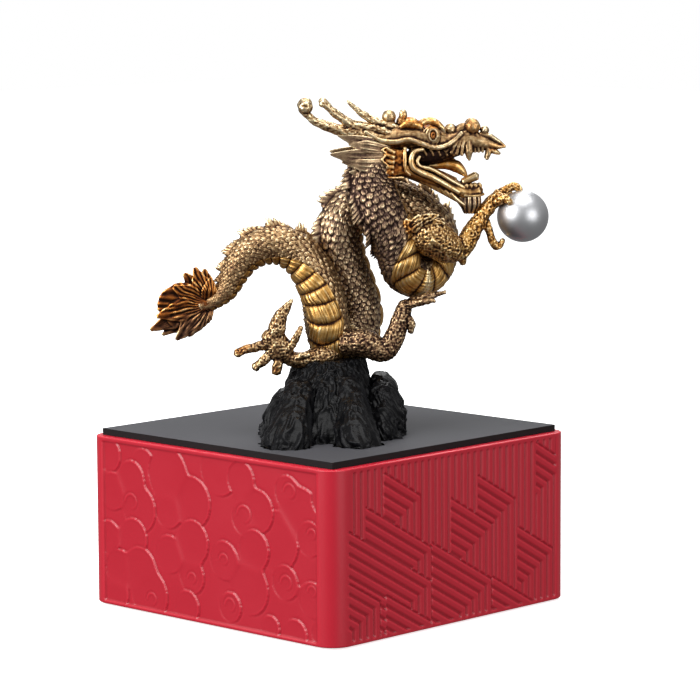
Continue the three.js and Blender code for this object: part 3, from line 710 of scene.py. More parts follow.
# The body: four solid castings, pinned end to end and dressed at the joints. Overlapping scales run
# towards the tail, broad fluted plates cover the belly, and flame-shaped fins stand along the spine.
BODY = (  # centre and radius, from the tail's root to the skull
    (-60, 0, 57.5, 2.8), (-54, 0, 59.5, 3.6), (-47.5, 0, 65, 5), (-43.5, 0, 73, 6.3), (-38, 0, 81, 7.6),
    (-30, 0, 85.5, 8.4), (-21, 0, 85.5, 8.8), (-12.5, -0.5, 80.5, 9.2), (-6.5, -2, 71.5, 9.6),
    (-2.5, -4, 61, 9.9), (-1, -5, 51, 10), (1.2, -2.2, 41.5, 10), (6.8, 4.5, 37.8, 10.2),
    (12.2, 11.2, 41.5, 10.5), (14.5, 14, 50.5, 10.8), (13, 14, 60, 10.8), (9.5, 12, 70, 10.8),
    (6.5, 10, 80, 10.6), (5.5, 9, 89, 10.6), (8, 10, 97.5, 10.6), (15, 12.5, 103.5, 10.6),
    (25, 14, 105, 10.6), (35, 13, 103, 10.6), (44, 11, 97.5, 10.6), (50, 9, 90.5, 10.2), (51, 7, 82.5, 9.8),
    (48.2, 4.6, 74.2, 9.5), (41.5, -1, 70.6, 9.3), (34.8, -6.6, 74.2, 9.4), (32, -9, 83, 9.8),
    (29, -9.5, 92.5, 10.6), (23.5, -8, 102, 11.5), (20, -5, 111, 11.5), (21, -2, 121, 10.5), (26, 0, 128, 9),
)
SPINE = (  # station along the body, and the way the spine faces there
    (0, (-5, 0, 8)), (2, (-7, 0, 6)), (3.5, (-8, 0, 5)), (4.5, (-5, 0, 8)), (5.5, (0, 0, 8)),
    (6.5, (3, 2, 7)),
    (7.5, (5, 5, 4)), (8.5, (4, 8, 1)), (10, (0, 8, 0)), (11, (3, 6, 3)), (12, (0, 0, 8)), (13, (-5, -3, 6)),
    (14, (-7, -4, 1)), (16, (-7, -4, 0)), (18, (-7, -3, 1)), (19, (-6, 0, 5)), (20, (-3, 0, 8)),
    (21.5, (0, 0, 8)),
    (23, (3, 2, 7)), (24, (6, 5, 4)), (25, (1, 8, 0)), (26, (-3, 7, 2)), (27, (-3, 7, 4)), (28, (-2, 8, 3)),
    (29, (-5, 4, 0)), (29.6, (-7, 0, 0)), (30.5, (-7, -4, 0)), (32, (-7, -4, 2)), (34, (-8, -1, 2)),
)
CASTINGS = (  # name, the CAD node it stands for, its ends as stations, gold wash and shade
    ("hind_body_casting", "hind_body", 0, 12.57, 0.3, -0.05),
    ("trunk_casting", "trunk", 12.6, 20.47, 0.06, -0.06),
    ("chest_casting", "chest", 20.5, 27.17, 0.2, -0.04),
    ("neck_casting", "neck", 27.2, 34, 0.04, 0.12),
)
SCALES_ROUND = 20  # scales in one row round the body
SCALE_ROW = 0.22  # distance between rows, as a share of the body's radius
PLATE_PITCH = 0.72  # belly plates, as a share of the body's radius
BELLY_HALF = math.radians(52)
SCALE_HEIGHT = 0.085  # how far scales and belly plates stand out, as shares of the body's radius
PLATE_HEIGHT = 0.12
FIN_PITCH = 1.05  # distance between fins, and their height, as shares of the body's radius
FIN_HEIGHT = 0.56
FIN_RISE = 0.22  # the share of each fin's length over which it rises, from the tail's side
FIN_LEAN = 0.55  # towards the tail, as a share of its height
FIN_THICK = 1.7  # half its thickness at the foot, in mm
SKIN_GRID = 0.36  # mm between rings of the skin
SKIN_COLUMNS = 208  # points round each ring

skull_end = len(BODY) - 1
stations = np.linspace(0, skull_end, 200 * skull_end + 1)
track, heading = curve_at([p[:3] for p in BODY], stations)
girth = curve_at([(p[3], 0, 0) for p in BODY], stations)[0][:, 0]
stride = np.linalg.norm(np.diff(track, axis=0), axis=1)
travel = np.concatenate([[0], np.cumsum(stride)])
winding = np.concatenate([[0], np.cumsum(stride / girth[:-1])])
spine = np.column_stack([np.interp(stations, [s for s, _ in SPINE],
                                   [d[k] for _, d in SPINE]) for k in range(3)])
spine -= heading * np.einsum("ij,ij->i", spine, heading)[:, None]
spine /= np.linalg.norm(spine, axis=1)[:, None]


def capped_faces(rows, columns):
    """Quads over rings of points, and over both ends, where they meet the two points after the rings."""
    last, middle = (rows - 1) * columns, rows * columns
    caps = []
    for j in range(0, columns, 2):
        after = (j + 2) % columns
        caps.append([after, j + 1, j, middle])
        caps.append([last + j, last + j + 1, last + after, middle + 1])
    return np.concatenate([ring_faces(rows, columns), caps])


def hide_height(wind, turn):
    """How far the sculpted hide stands out, as a share of the radius, and how much of it is belly."""
    column, row = turn * SCALES_ROUND / (2 * np.pi), wind / SCALE_ROW
    height = 0
    own = np.floor(row)
    for below in (1, 0):  # the lower scale first, then the one that overlaps it
        number = own - below
        shift = 0.5 * (number % 2)
        x = column - shift - np.round(column - shift)
        y = row - number
        rim = y - 0.85 * (1 - np.sqrt(np.clip(1 - 4 * x * x, 0, 1)))  # past the scale's round edge
        mark = lattice(np.stack([number, np.round(column - shift) % SCALES_ROUND, 0 * x], -1), 9)
        scale = (1.05 - 0.5 * y) * (1 - 1.3 * x * x) * smoothstep(0, 0.12, rim)
        scale *= 0.72 + 0.5 * mark[..., 0]  # no two scales are cut alike
        scale += 0.6 * (mark[..., 1] - 0.5) * x + 0.14 * np.cos(19 * x) * smoothstep(1, 0.3, y)
        height = np.where(rim > 0, scale, height)
    height = SCALE_HEIGHT * height - 0.03
    q = (np.pi - np.abs(turn)) / BELLY_HALF
    plate = (wind / PLATE_PITCH + 0.2 * q * q) % 1
    bulge = 1 - np.abs(2 * plate - 1) ** 3.2
    number = np.floor(wind / PLATE_PITCH + 0.2 * q * q)
    ribbing = grain_at(np.stack([turn * 17, 9.7 * number, wind * 0.7], -1), 1, 15)
    flute = ribbing * smoothstep(0.05, 0.3, bulge)
    belly = PLATE_HEIGHT * bulge * (1 - 0.35 * q * q) - 0.045 + 0.03 * flute
    on_belly = smoothstep(1.03, 0.97, q)
    return height * (1 - on_belly) + belly * on_belly, on_belly


for name, node, first, last, gold, shade in CASTINGS:
    ends = np.interp([first, last], stations, travel)
    along = np.interp(np.linspace(*ends, int((ends[1] - ends[0]) / SKIN_GRID) + 1), travel, stations)
    courses = (track, heading, spine)
    at, way, up = (np.column_stack([np.interp(along, stations, c[:, k]) for k in range(3)]) for c in courses)
    radius, wind = np.interp(along, stations, girth), np.interp(along, stations, winding)
    side = np.cross(way, up)
    turn = np.linspace(0, 2 * np.pi, SKIN_COLUMNS, endpoint=False)
    turn = np.where(turn > np.pi, turn - 2 * np.pi, turn)
    W, T = np.meshgrid(wind, turn, indexing="ij")
    R = radius[:, None]
    height, belly = hide_height(W, T)
    flame = (W / FIN_PITCH) % 1
    crest = np.where(flame > FIN_RISE, ((1 - flame) / (1 - FIN_RISE)) ** 0.9, flame / FIN_RISE)
    ragged = 0.8 + 0.2 * np.sin(W * 47)
    thick = np.clip(1 - np.abs(T) * R / FIN_THICK, 0, 1) ** 0.75
    ending = (smoothstep(1, 2.5, along) * smoothstep(skull_end, skull_end - 0.8, along))[:, None]
    fin = FIN_HEIGHT * R * crest * ragged * thick * ending
    out = up[:, None] * np.cos(T)[..., None] + side[:, None] * np.sin(T)[..., None]
    lean = way[:, None] * (FIN_LEAN * fin)[..., None]
    skin = at[:, None] + out * (R * (1 + height) + fin)[..., None] - lean
    rough = (1 - 0.85 * belly) * (0.22 * grain_at(skin, 1.2, 11) + 0.1 * grain_at(skin, 0.7, 12))
    skin += out * rough[..., None]
    points = np.concatenate([skin.reshape(-1, 3), at[:1], at[-1:]])
    quads = capped_faces(len(skin), SKIN_COLUMNS)
    gilt = np.concatenate([(gold + (0.95 - gold) * belly).ravel(), [0, 0]])
    cast(name, points, quads, node, gold=gilt, shade=shade * (1 - gilt), reach=7, depth=0.62)

# The tail fin: one thin casting pinned to the tail. Fluted flame-like lobes fan out from its root, the
# upper ones washed amber and the lower ones left dark.


def limb(stations, sides=14):
    """A closed form through stations of [x, y, z, half width, half height], with rounded ends."""
    stations = [list(s) + [s[3]] if len(s) == 4 else list(s) for s in stations]
    n = len(stations)
    s = np.linspace(0, n - 1, 6 * (n - 1) + 1)
    at, way = curve_at([p[:3] for p in stations], s)
    width, height = (np.interp(s, range(n), [p[k] for p in stations]) for k in (3, 4))
    side = np.cross([0, 0, 1], way[0])
    side = side if np.linalg.norm(side) > 1e-3 else np.array([0, 1.0, 0])
    angle = np.linspace(0, 2 * np.pi, sides, endpoint=False)
    rings = []
    for k in range(len(s)):
        side = side - way[k] * side.dot(way[k])
        side /= np.linalg.norm(side)
        up = np.cross(way[k], side)
        across = np.outer(np.cos(angle) * width[k], side)
        rings.append(at[k] + across + np.outer(np.sin(angle) * height[k], up))
    nose = at[0] - way[0] * min(width[0], height[0]) * 0.6
    tip = at[-1] + way[-1] * min(width[-1], height[-1]) * 0.6
    return closed(np.array(rings), nose, tip)


def lock(root, tip, width, strands=5, bend=(0, 0, 0), thick=1.0, spread=0.1):
    """A flame or a lock of hair: strands side by side that draw together to a point."""
    root, tip, bend = (np.array(p, float) for p in (root, tip, bend))
    across = np.cross(tip - root, [0, 1, 0])
    across /= np.linalg.norm(across)
    shells = []
    for k in range(strands):
        place = (k / (strands - 1) - 0.5) * width
        r = 0.62 * width / strands * thick
        mid = (root + tip) / 2 + bend + across * place
        deep = 0.25 * r * (-1) ** k
        shells.append(
            limb(
                [
                    (*(root + across * place * 0.75), r * 1.1),
                    (*(mid + (0, deep, 0)), r * 1.15),
                    (*(root * 0.25 + tip * 0.75 + bend * 0.5 + across * place * 0.62), r * 0.85),
                    (*(tip + across * place * spread), r * 0.3),
                ],
                8,
            )
        )
    return shells


FAN = (  # tip in x and z, width, and how far in front of the middle plane it lies
    (-54.4, 71.5, 6, -2), (-57.5, 75, 7, 0.8), (-62, 76, 7.5, -1), (-67, 73, 8, 0.8), (-72, 67, 8.5, -0.8),
    (-76.5, 60, 9, 0.8), (-80, 53, 9, -0.8), (-83, 46.5, 8.5, 0.4), (-77.5, 44, 8, 1.2), (-71, 41.8, 8, -0.8),
    (-65.5, 43, 7.5, 1), (-60.5, 47, 7, -1),
)
shells = [
    limb([(-52, 0, 60, 3.4), (-57, 0, 58.5, 3.4, 3.6), (-62, 0, 58.5, 2.2, 9), (-67, 0, 58, 1.5, 11.5),
          (-72, 0, 55.5, 1, 10.5), (-76, 0, 52, 0.8, 6)]),
]
for x, z, width, y in FAN:
    shells += lock((-56, y * 0.4, 58.8), (x, y * 1.2, z), width, 7, (0, y * 0.9, 0), 1.1, 0.14)
points, quads = fuse(shells, voxel=0.33, smoothing=1)
away = np.hypot(points[:, 0] + 54, points[:, 2] - 59.4)
veins = np.cos(np.arctan2(points[:, 2] - 59.4, points[:, 0] + 54) * 44 + 3.5 * grain_at(points, 6, 14))
points = points + normals_of(points, quads) * (0.15 * veins * smoothstep(3, 9, away))[:, None]
high = smoothstep(50, 60, points[:, 2] - 0.35 * (points[:, 0] + 60))
cast("tail_fan", points, quads, "tail_fin", gold=0.15, amber=0.3 + 0.6 * high, shade=0.12, depth=0.4)


# The limbs: solid castings, pinned to the body and patinated with it. Their hide is wrinkled and set with
# small round beads, which the rubbing leaves bright.
BEAD = 1.15  # mm from bead to bead
BEAD_RISE = 0.3


def domes(points, size, seed):
    """Round beads of this size packed close, from 0 between them to 1 on their crowns."""
    p = points / np.asarray(size)
    cell = np.floor(p)
    nearest = np.full(len(p), 9.0)
    for step in np.ndindex(3, 3, 3):
        here = cell + np.array(step) - 1
        centre = here + lattice(here, seed)
        shrink = 0.75 + 0.6 * lattice(here, seed + 1)[..., 0]
        nearest = np.minimum(nearest, ((p - centre) ** 2).sum(1) * shrink)
    return np.clip(1 - nearest / 0.42, 0, 1)


def lump(x, y, z, rx, ry=None, rz=None, tilt=0):
    """A closed ellipsoid, tilted about Y by this many degrees, nose up."""
    ry, rz = ry or rx, rz or rx
    a = math.radians(tilt)
    turn = np.linspace(0, 2 * np.pi, 16, endpoint=False)
    rise = np.linspace(-np.pi / 2, np.pi / 2, 11)[1:-1]
    rings = [[(np.cos(r) * np.cos(t), np.cos(r) * np.sin(t), np.sin(r)) for t in turn] for r in rise]
    p, faces = closed(np.array(rings), (0, 0, -1), (0, 0, 1))
    p = p * (rx, ry, rz)
    along, up = p[:, 0] * np.cos(a) - p[:, 2] * np.sin(a), p[:, 0] * np.sin(a) + p[:, 2] * np.cos(a)
    return np.column_stack([along, p[:, 1], up]) + (x, y, z), faces


def beaded(name, shells, stands_for, gold, amber=0.0, shade=0.05):
    """A limb's casting with its hide. Gold and amber may depend on the points."""
    points, quads = fuse(shells, voxel=0.33, smoothing=2)
    out = normals_of(points, quads)
    wrinkles = 1 - 2 * np.abs(grain_at(points, 1.5, 8))
    grain = 0.8 * domes(points, BEAD, 5) + 0.7 * wrinkles + 0.9 * grain_at(points, 2.6, 7)
    points = points + out * (BEAD_RISE * (grain - 0.5))[:, None]
    gold = gold(points) if callable(gold) else gold
    amber = amber(points) if callable(amber) else amber
    cast(name, points, quads, stands_for, gold=gold, amber=amber, shade=shade, depth=0.34)


shells = [  # the arm, a ridged finger, two more, the thumb, tufts at the elbow, a disc on the shoulder
    limb(
        [
            (40, -9, 93, 7, 8), (48, -11, 90, 8.5, 9.5), (56, -10, 85, 6.5, 7.5), (61, -8, 84, 4.6, 5),
            (66, -6, 91, 4.4, 4.4), (71, -3.5, 98.5, 3.4, 3.4), (76, -1.5, 105, 3.2, 3.6),
            (80.5, -1, 109, 3, 3.2),
        ],
        20,
    ),
    limb([(78, 0, 107, 2.4), (83, 1.2, 111, 2), (87, 1.6, 112.3, 1.9), (89.8, 1.4, 110.6, 1.3)]),
    limb([(76.5, 0.5, 105, 1.1), (81, 0.4, 109.5, 0.9), (86.5, 0.6, 113.2, 0.8), (89.5, 0.6, 112.6, 0.5)], 8),
    limb([(78, -4, 105.5, 2.3), (81.5, -7, 107.5, 2.2), (84.2, -8.6, 105.6, 1.4)]),
    limb([(78, 3, 106.5, 2.2), (82.5, 6.8, 109.4, 1.9), (86.5, 8, 107.6, 1.3)]),
    limb([(72.5, -2, 98, 2), (74.8, -2.4, 92, 1.8), (76.3, -2.4, 87.4, 2), (78.4, -2.2, 84.9, 2),
          (81.5, -1.8, 87.8, 1)]),
    lump(61.5, -8, 79.8, 2.2, 2.2, 3.4, 20),
    lump(63.5, -9.5, 82.4, 1.8, 1.8, 2.6, -30),
    lump(35.5, -17, 95, 3.4, 1.6, 4.2, -20),
]
for k, (x, z) in enumerate(((46, 100), (51, 101), (42, 96), (54, 97), (47, 93))):
    shells += lock((37 + k, -17.2 + 0.3 * k, 95 - 0.6 * k), (x, -17.5 + 0.5 * k, z), 3.2, 3, (0, -0.8, 1.5))
beaded(
    "ball_arm_casting",
    shells,
    "ball_arm",
    gold=lambda p: 0.62 + 0.35 * smoothstep(58, 66, p[:, 0]),
    amber=lambda p: 0.85 * smoothstep(4.6, 3, np.hypot(p[:, 0] - 35.5, p[:, 2] - 95)) * (p[:, 1] < -15)
    + 0.4 * smoothstep(62, 72, p[:, 0]),
)
beaded(
    "folded_arm_casting",
    [
        limb([(46, 15, 88, 6.5, 7), (54, 20, 84, 5.6, 6), (58.5, 23, 78.5, 4, 4.4), (52, 25.5, 82, 3.6, 3.8),
              (44, 26.5, 89, 3.2, 3.4), (38, 27, 95, 3, 3.6)]),
        limb([(39, 27, 94, 2.2), (31, 27, 97, 1.6), (26.5, 25.5, 95, 1)]),
        limb([(38.5, 27, 95.5, 2.2), (33, 27.5, 102, 1.6), (29.5, 26.5, 103.5, 1)]),
        limb([(38.5, 27, 96, 2.2), (38.5, 28, 104, 1.6), (36, 27, 107, 1)]),
        limb([(40, 27, 93, 2), (36, 28.5, 88, 1.6), (32, 28, 87, 1)]),
    ],
    "folded_arm",
    gold=0.5,
)
shells = [
    limb([(4, -5, 37, 4.5, 4.5), (-2, -9.4, 35.6, 5.4, 5), (-8, -11, 34, 5, 4.4),
          (-13, -12.2, 33.4, 4.2, 3.6), (-18.5, -13, 35, 3.8, 3.6),
          (-23, -14, 39, 4.6, 6.6), (-26.5, -14, 42.5, 4, 6.4), (-29.5, -14, 41, 3, 4.4)]),
    limb([(-25, -14, 42, 3.2), (-33, -14, 40.2, 2.3), (-38, -14, 39, 2.1), (-43, -14, 37, 2)]),
    limb([(-25, -14, 39, 2.8), (-30, -15, 34, 2.3), (-34.6, -15, 30.4, 2.1)]),
    limb([(-23, -14, 37, 2.8), (-23.8, -15.5, 32, 2.4), (-24.4, -15.5, 27.8, 2)]),
    limb([(-25, -14, 43, 3.6), (-24, -14, 49, 4.2), (-22, -14, 54.5, 3.1), (-18.6, -14, 59.5, 1.6),
          (-17, -14, 62, 0.8)]),
    limb([(-19, -15, 38, 2.2), (-15.5, -16.5, 44, 1.9), (-12.6, -16, 49.5, 1.2)]),
    limb([(-17, -14.5, 34, 1.6), (-13, -16.2, 36, 1.3), (-9, -16.2, 36.5, 1.1)], 8),
]
beaded(
    "spread_leg_casting",
    shells,
    "spread_leg",
    gold=0.35,
    amber=lambda p: 0.6 * smoothstep(-34, -40, p[:, 0]) + 0.5 * smoothstep(33, 29, p[:, 2]),
)
shells = [
    limb([(7, -7, 41, 6.5, 6.5), (17, -11, 41, 6, 6.6), (25.5, -13, 38, 5.4, 5.4), (30, -13, 43.5, 4.6, 4.8),
          (33, -12, 52, 3.8, 4.2), (36, -11, 59.5, 3.2, 3.4)]),
    limb([(35.5, -11, 58.5, 3), (41, -11, 61, 2), (48, -11, 63, 1.6), (54, -11, 64.6, 0.8)]),
    limb([(35.5, -11, 58.5, 2.6), (40, -15, 60, 1.9), (45, -18, 61, 1.5), (49, -19.5, 61.4, 0.8)]),
    limb([(35.5, -11, 58.5, 2.6), (40, -7, 60, 1.9), (45, -4, 60.4, 1.5), (49, -3, 60.6, 0.8)]),
    limb([(34.5, -12, 54.5, 2.4), (38, -13, 50.5, 2), (37.8, -13, 46, 1.2)]),
]
beaded("raised_leg_casting", shells, "raised_leg", gold=0.2, shade=0.12)

# The head: skull and lower jaw are separate castings that meet at the corners of the mouth, so that the
# tongue can be set between them. Lips, brows and eye rings are rolled cords, chased bright.


def mirrored(shells):
    """The same shells on the far side of the head, turned right side out again."""
    return [(p * (1, -1, 1), [face[::-1] for face in faces]) for p, faces in shells]


def ring(x, y, z, wide, high, thick):
    """A cord bent into an upright oval that faces sideways."""
    turns = np.linspace(0, 2 * np.pi, 13)
    return limb([(x + wide * np.cos(t), y, z + high * np.sin(t), thick) for t in turns], 8)


skull_side = [
    # the lip cord, from the mane over the mouth's corner to the nose
    limb([(17, -9.4, 138.8, 1), (25, -10, 134.6, 1.2), (31, -10.2, 134, 1.25), (37.5, -10, 135, 1.3),
          (43.5, -9.6, 133, 1.3), (50, -8.8, 131.2, 1.25), (55.6, -7.6, 132.6, 1.2), (59, -6.8, 135, 1.1),
          (62, -6.4, 138, 0.9)], 10),
    # brow lump and eyebrow
    limb([(33.5, -7, 140.6, 1), (36.5, -7.4, 142.2, 2.2), (40, -7.6, 142, 2.3), (43.5, -7.8, 140.4, 1.2)],
         12),
    limb([(42.5, -7.4, 141.6, 1), (46, -7.8, 143, 1.3), (50, -7.8, 142.4, 1.5), (53, -7.4, 139.8, 1.3),
          (54, -7, 137.6, 0.6)], 10),
    ring(47.8, -8.5, 136.8, 3.7, 4.2, 0.5),
    ring(48.2, -9, 136.9, 2.7, 3.4, 0.45),
    ring(48.5, -9.3, 137, 1.8, 2.6, 0.4),
    lump(48.5, -7, 136.9, 3.4, 2, 3.8),
    # nostril bulb, fangs and the flutes from the nostril to the lip
    lump(67, -4.6, 140.6, 3.6, 3.2, 3.6),
    limb([(65, -5.4, 133.5, 2.2), (65.2, -6, 129, 1.9), (65.3, -6, 125, 0.6)], 10),
    limb([(73, -4.6, 133, 1.6), (74.4, -4.9, 129, 1.3), (73.4, -4.8, 125.4, 0.9)], 8),
    *[limb([(65.4 - 0.4 * k, -5, 138.4, 0.9), (62.6 - 1.5 * k, -6.6, 133.6, 1.05),
            (61.8 - 2.5 * k, -7, 127.4 + 0.5 * k, 0.8)], 8)
      for k in range(4)],
    *[limb([(66.6 + 0.8 * k, -5.4, 137.6, 0.8), (67.6 + 1.6 * k, -6, 133.4, 0.9),
            (68 + 1.8 * k, -5.4, 128.8, 0.7)], 8) for k in range(3)],
    # the two leaf-shaped lips at the tip of the snout, with rolled edges round a hollow
    limb([(70, -4.4, 137, 0.9), (75, -4.8, 136, 1.1), (79, -4.4, 133.6, 1), (82.2, -3.6, 131.2, 0.6)], 8),
    limb([(71.4, -4.8, 133.2, 0.8), (76, -5, 131.8, 0.9), (79.4, -4.4, 131.4, 0.9), (82.2, -3.6, 131, 0.6)],
         8),
    limb([(74, -4.6, 130.4, 1.4), (77.4, -4.6, 128.8, 1.3), (79.6, -4, 128, 0.7)], 8),
    # cheek fin: a scalloped amber frill behind the mouth, with a rolled edge
    limb([(35.6, -9.4, 131.5, 0.9), (35.4, -9.8, 126, 1), (36, -9.6, 120.6, 0.9), (38, -9, 118.6, 0.7)], 8),
    limb([(30, -9.6, 129, 0.9, 4), (31, -9.4, 125, 1, 6), (31, -9.2, 121, 0.9, 4)], 14),
    limb([(27, -10.8, 131.6, 0.5), (25, -11.4, 130.4, 0.55), (26.8, -11, 128.6, 0.5), (24.9, -11.6, 126, 0.6),
          (27.2, -11, 123.6, 0.5), (28.6, -10.6, 122, 0.5), (25.6, -11.4, 118.4, 0.6),
          (30, -10.4, 117.6, 0.5),
          (35, -9.6, 117.6, 0.5)], 8),
]
FRILL_ROOT = 125  # the height that the frill's plates spread from
for x, z in ((25.6, 130), (25.4, 126), (26.4, 119)):
    root = (35.5, -9, 0.5 * (z + FRILL_ROOT), 0.9, 2.4)
    middle = (30, -9.8, 0.7 * z + 0.3 * FRILL_ROOT, 0.8, 2.6)
    skull_side.append(limb([root, middle, (x + 0.8, -10.8, z, 0.5, 2)], 12))
skull_side += [
    limb([(30 + 0.2 * k, -10.6, 124.6 + 2.2 * (k - 2), 0.6, 1), (27, -11, 125.4 + 2.9 * (k - 2), 0.5, 0.8)],
         8) for k in range(5)
]
skull_shells = [
    limb([(18, 0, 132, 5, 4), (24, 0, 133.5, 8.5, 6.5), (34, -0.5, 136, 9.2, 6), (45, -1, 136, 8.6, 6),
          (55, -1.6, 133.6, 5.8, 4.6), (63, -2.2, 134, 5.2, 5.4), (71, -2.8, 133.2, 4.4, 4),
          (76, -3.2, 132, 3, 2.6),
          (80.8, -3.4, 131.2, 1.4, 0.9)], 24),
    # the ridged palate, which closes the mouth from behind
    limb([(39, 0, 127, 7, 5), (46, -0.6, 127, 6.4, 5.4), (53, -1.2, 128, 5.6, 4.4), (59, -1.8, 129.4, 4.6, 3),
          (63, -2.2, 130, 3.4, 2.2)], 18),
    *[limb([(44 + 3.2 * k, -7, 130.6, 0.7), (45.6 + 3.2 * k, -6.6, 127.4, 0.7)], 8) for k in range(5)],
    limb([(24, 0, 126, 8, 6), (30, 0, 125, 9, 7), (35, 0, 125, 8.6, 7)], 20),
    lump(28.4, -3.4, 145.2, 3.3),
    lump(28.4, -3.4, 141.4, 3.2, 3, 4),
    lump(35, -1.5, 145.8, 2, 1.9, 2.9),
    lump(34.2, -1.5, 142, 2.6, 2.2, 3.6),
    lump(56.8, -2.2, 139.2, 2.9, 3.4, 2.8),
    lump(72.6, -2.8, 138.8, 2.2, 3.4, 2),
    limb([(58, -2, 137, 2.6), (62, -2.4, 139.4, 2.6), (66, -2.6, 140.4, 2.4)], 12),
] + skull_side + mirrored(skull_side)
points, quads = fuse(skull_shells, voxel=0.34, smoothing=1)
out = normals_of(points, quads)
points = points + out * (0.1 * grain_at(points, 1.1, 21))[:, None]
x, y, z = points.T
brow = smoothstep(139.4, 140.6, z) * smoothstep(32, 34, x) * smoothstep(54.5, 53, x) * (np.abs(y) > 3)
frill = smoothstep(39, 36.5, x) * smoothstep(24, 25.5, x) * smoothstep(133.2, 131.6, z) * (np.abs(y) > 7)
snout = 0.6 * smoothstep(73, 76, x) * smoothstep(134, 131, z)
nose = 0.45 * smoothstep(4.2, 3, np.hypot(x - 67, z - 140.6))
# Painted shade: inside the mouth, round the palate and the inner lips, the bronze is darkened through
# `shade`, where the mouth's hollow lies in shadow.
mouth = smoothstep(38, 41, x) * smoothstep(64, 61, x) * smoothstep(131.6, 130.6, z) * (np.abs(y + 1) < 8)
amber = np.clip(0.85 * brow + 0.9 * frill + snout + nose, 0, 1)
cast("skull_casting", points, quads, "skull", gold=0.35, amber=amber, shade=0.42 * mouth, depth=0.3)

jaw_side = [
    # the rolled lip, in two strands that run round the mouth's corner
    limb([(44, -9.2, 130.6, 0.9), (39.8, -9.8, 129.4, 1.1), (38.4, -10, 126, 1.3), (39.2, -10, 122.4, 1.4),
          (42.6, -9.6, 120, 1.5),
          (48, -8.8, 117.6, 1.5), (54, -7.8, 114.2, 1.4), (60.5, -6.6, 110.4, 1.3)], 12),
    limb([(42.4, -8.8, 127.4, 0.8), (41.2, -9.2, 125, 0.9), (42.4, -9.2, 122.8, 0.9),
          (47, -8.6, 121.6, 0.9), (52, -7.8, 119, 0.9),
          (57, -7, 115.8, 0.9), (63, -6, 112.4, 0.9)], 10),
    # the hair under the jaw
    *[limb([(41 + 2.6 * k, -6.6, 118.4 - 1.4 * k, 1.1), (44 + 2.6 * k, -6.2, 115.4 - 1.4 * k, 1.1),
            (48 + 2.6 * k, -5.4, 113 - 1.5 * k, 0.7)], 8)
      for k in range(7)],
    # small teeth along the inner lip
    *[lump(46 + 2.2 * k, -7.4 + 0.25 * k, 122 - 1.15 * k, 0.8, 0.7, 1.1) for k in range(7)],
    # lower teeth
    *[limb([(64 + 2.1 * k, -5.6 + 0.6 * k, 110, 1.05), (64.2 + 2.1 * k, -5.6 + 0.6 * k, 113.8, 0.95)],
           8) for k in range(4)],
]
jaw_shells = [
    limb([(31, 0, 122, 8, 4), (38, -0.5, 120.5, 8.8, 4.2), (46, -1, 117.6, 7.8, 4.4),
          (54, -1.5, 114, 6.8, 4.2), (60, -1.8, 111.4, 6, 4),
          (66, -2.2, 109.8, 5, 3.6), (70.6, -2.6, 111, 3.2, 2.6)], 24),
    limb([(44, -0.8, 120, 5, 2), (52, -1.2, 117.8, 4.4, 2.4), (59, -1.8, 114.8, 3.6, 2.2)], 14),
    limb([(62.5, -2.4, 114.6, 2.6, 2), (66, -2.4, 116.4, 2.6, 2.1), (69, -2.4, 117.8, 2.5, 2.2)], 12),
    limb([(63, -6.9, 109, 0.7), (68, -6.2, 108.6, 0.7), (72, -3, 109.2, 0.7), (68, 2.4, 108.6, 0.7),
          (63, 3.2, 109, 0.7)], 8),
] + jaw_side + mirrored(jaw_side)
points, quads = fuse(jaw_shells, voxel=0.34, smoothing=1)
x, y, z = points.T
lips = smoothstep(62, 40, x) * 0.4
# The chin, the floor of the mouth and the hair under the jaw are darkened through `shade`; on the floor of
# the mouth this is painted shade, where the mouth's hollow lies in shadow.
chin = smoothstep(62, 65, x) * smoothstep(117, 115, z)
floor = (np.abs(y + 1) < 7.6) * smoothstep(60, 40, x) * smoothstep(0, 2, z - 118 + 0.45 * (x - 46))
hair = smoothstep(0, 1.5, 116.4 - 0.52 * (x - 42) - z)
shade = 0.25 * chin + 0.35 * floor + 0.14 * hair
amber = lips * (np.abs(y) > 6)
cast("lower_jaw_casting", points, quads, "lower_jaw", gold=0.6 - 0.4 * hair, amber=amber, shade=shade)
points, quads = fuse(
    [limb([(44, -0.6, 122.8, 3.2, 1.2), (50, -1, 122.6, 3.8, 1.8), (55.5, -1.4, 123, 3.6, 2.6),
           (59.5, -1.8, 122, 3, 3),
           (62.4, -2, 119.6, 2, 2), (64, -2, 117.8, 1, 1)], 16),
     limb([(55, -2, 124, 1.8, 1.4), (58.6, -2, 125, 1.2, 1.2)], 10)],
    voxel=0.34,
    smoothing=2,
)
cast("tongue_casting", points, quads, "tongue", amber=0.95)
shells = [limb([(61, -2, 108.5, 4, 3), (64, -2.2, 105, 4, 3.2), (65.5, -2.3, 102.5, 2.6, 1.8)], 16)]
BEARD_TUFTS = 11
for k in range(BEARD_TUFTS):
    angle = 2 * np.pi * k / BEARD_TUFTS
    c, s = np.cos(angle), np.sin(angle)
    x, y = 66 + 4 * c, -2.2 + 4 * s
    shells.append(limb([(x, y, 109.4, 0.9), (x, y, 104.6, 1.1),
                        (65.6 + 2.2 * c, -2.2 + 2.4 * s, 100.4, 0.7)], 8))
points, quads = fuse(shells, voxel=0.36, smoothing=1)
cast("beard_casting", points, quads, "beard", gold=0.05, shade=0.18)


# Horns and mane: the horns are knobbly like antlers and end in balls, the mane is in fluted locks. Both
# sides are cast apart and soldered to the skull.
SIDES = (("near", -1), ("far", 1))


def on_side(side, shells):
    """Shells that were shaped for the near side, as they are or mirrored to the far one."""
    return shells if side < 0 else mirrored(shells)


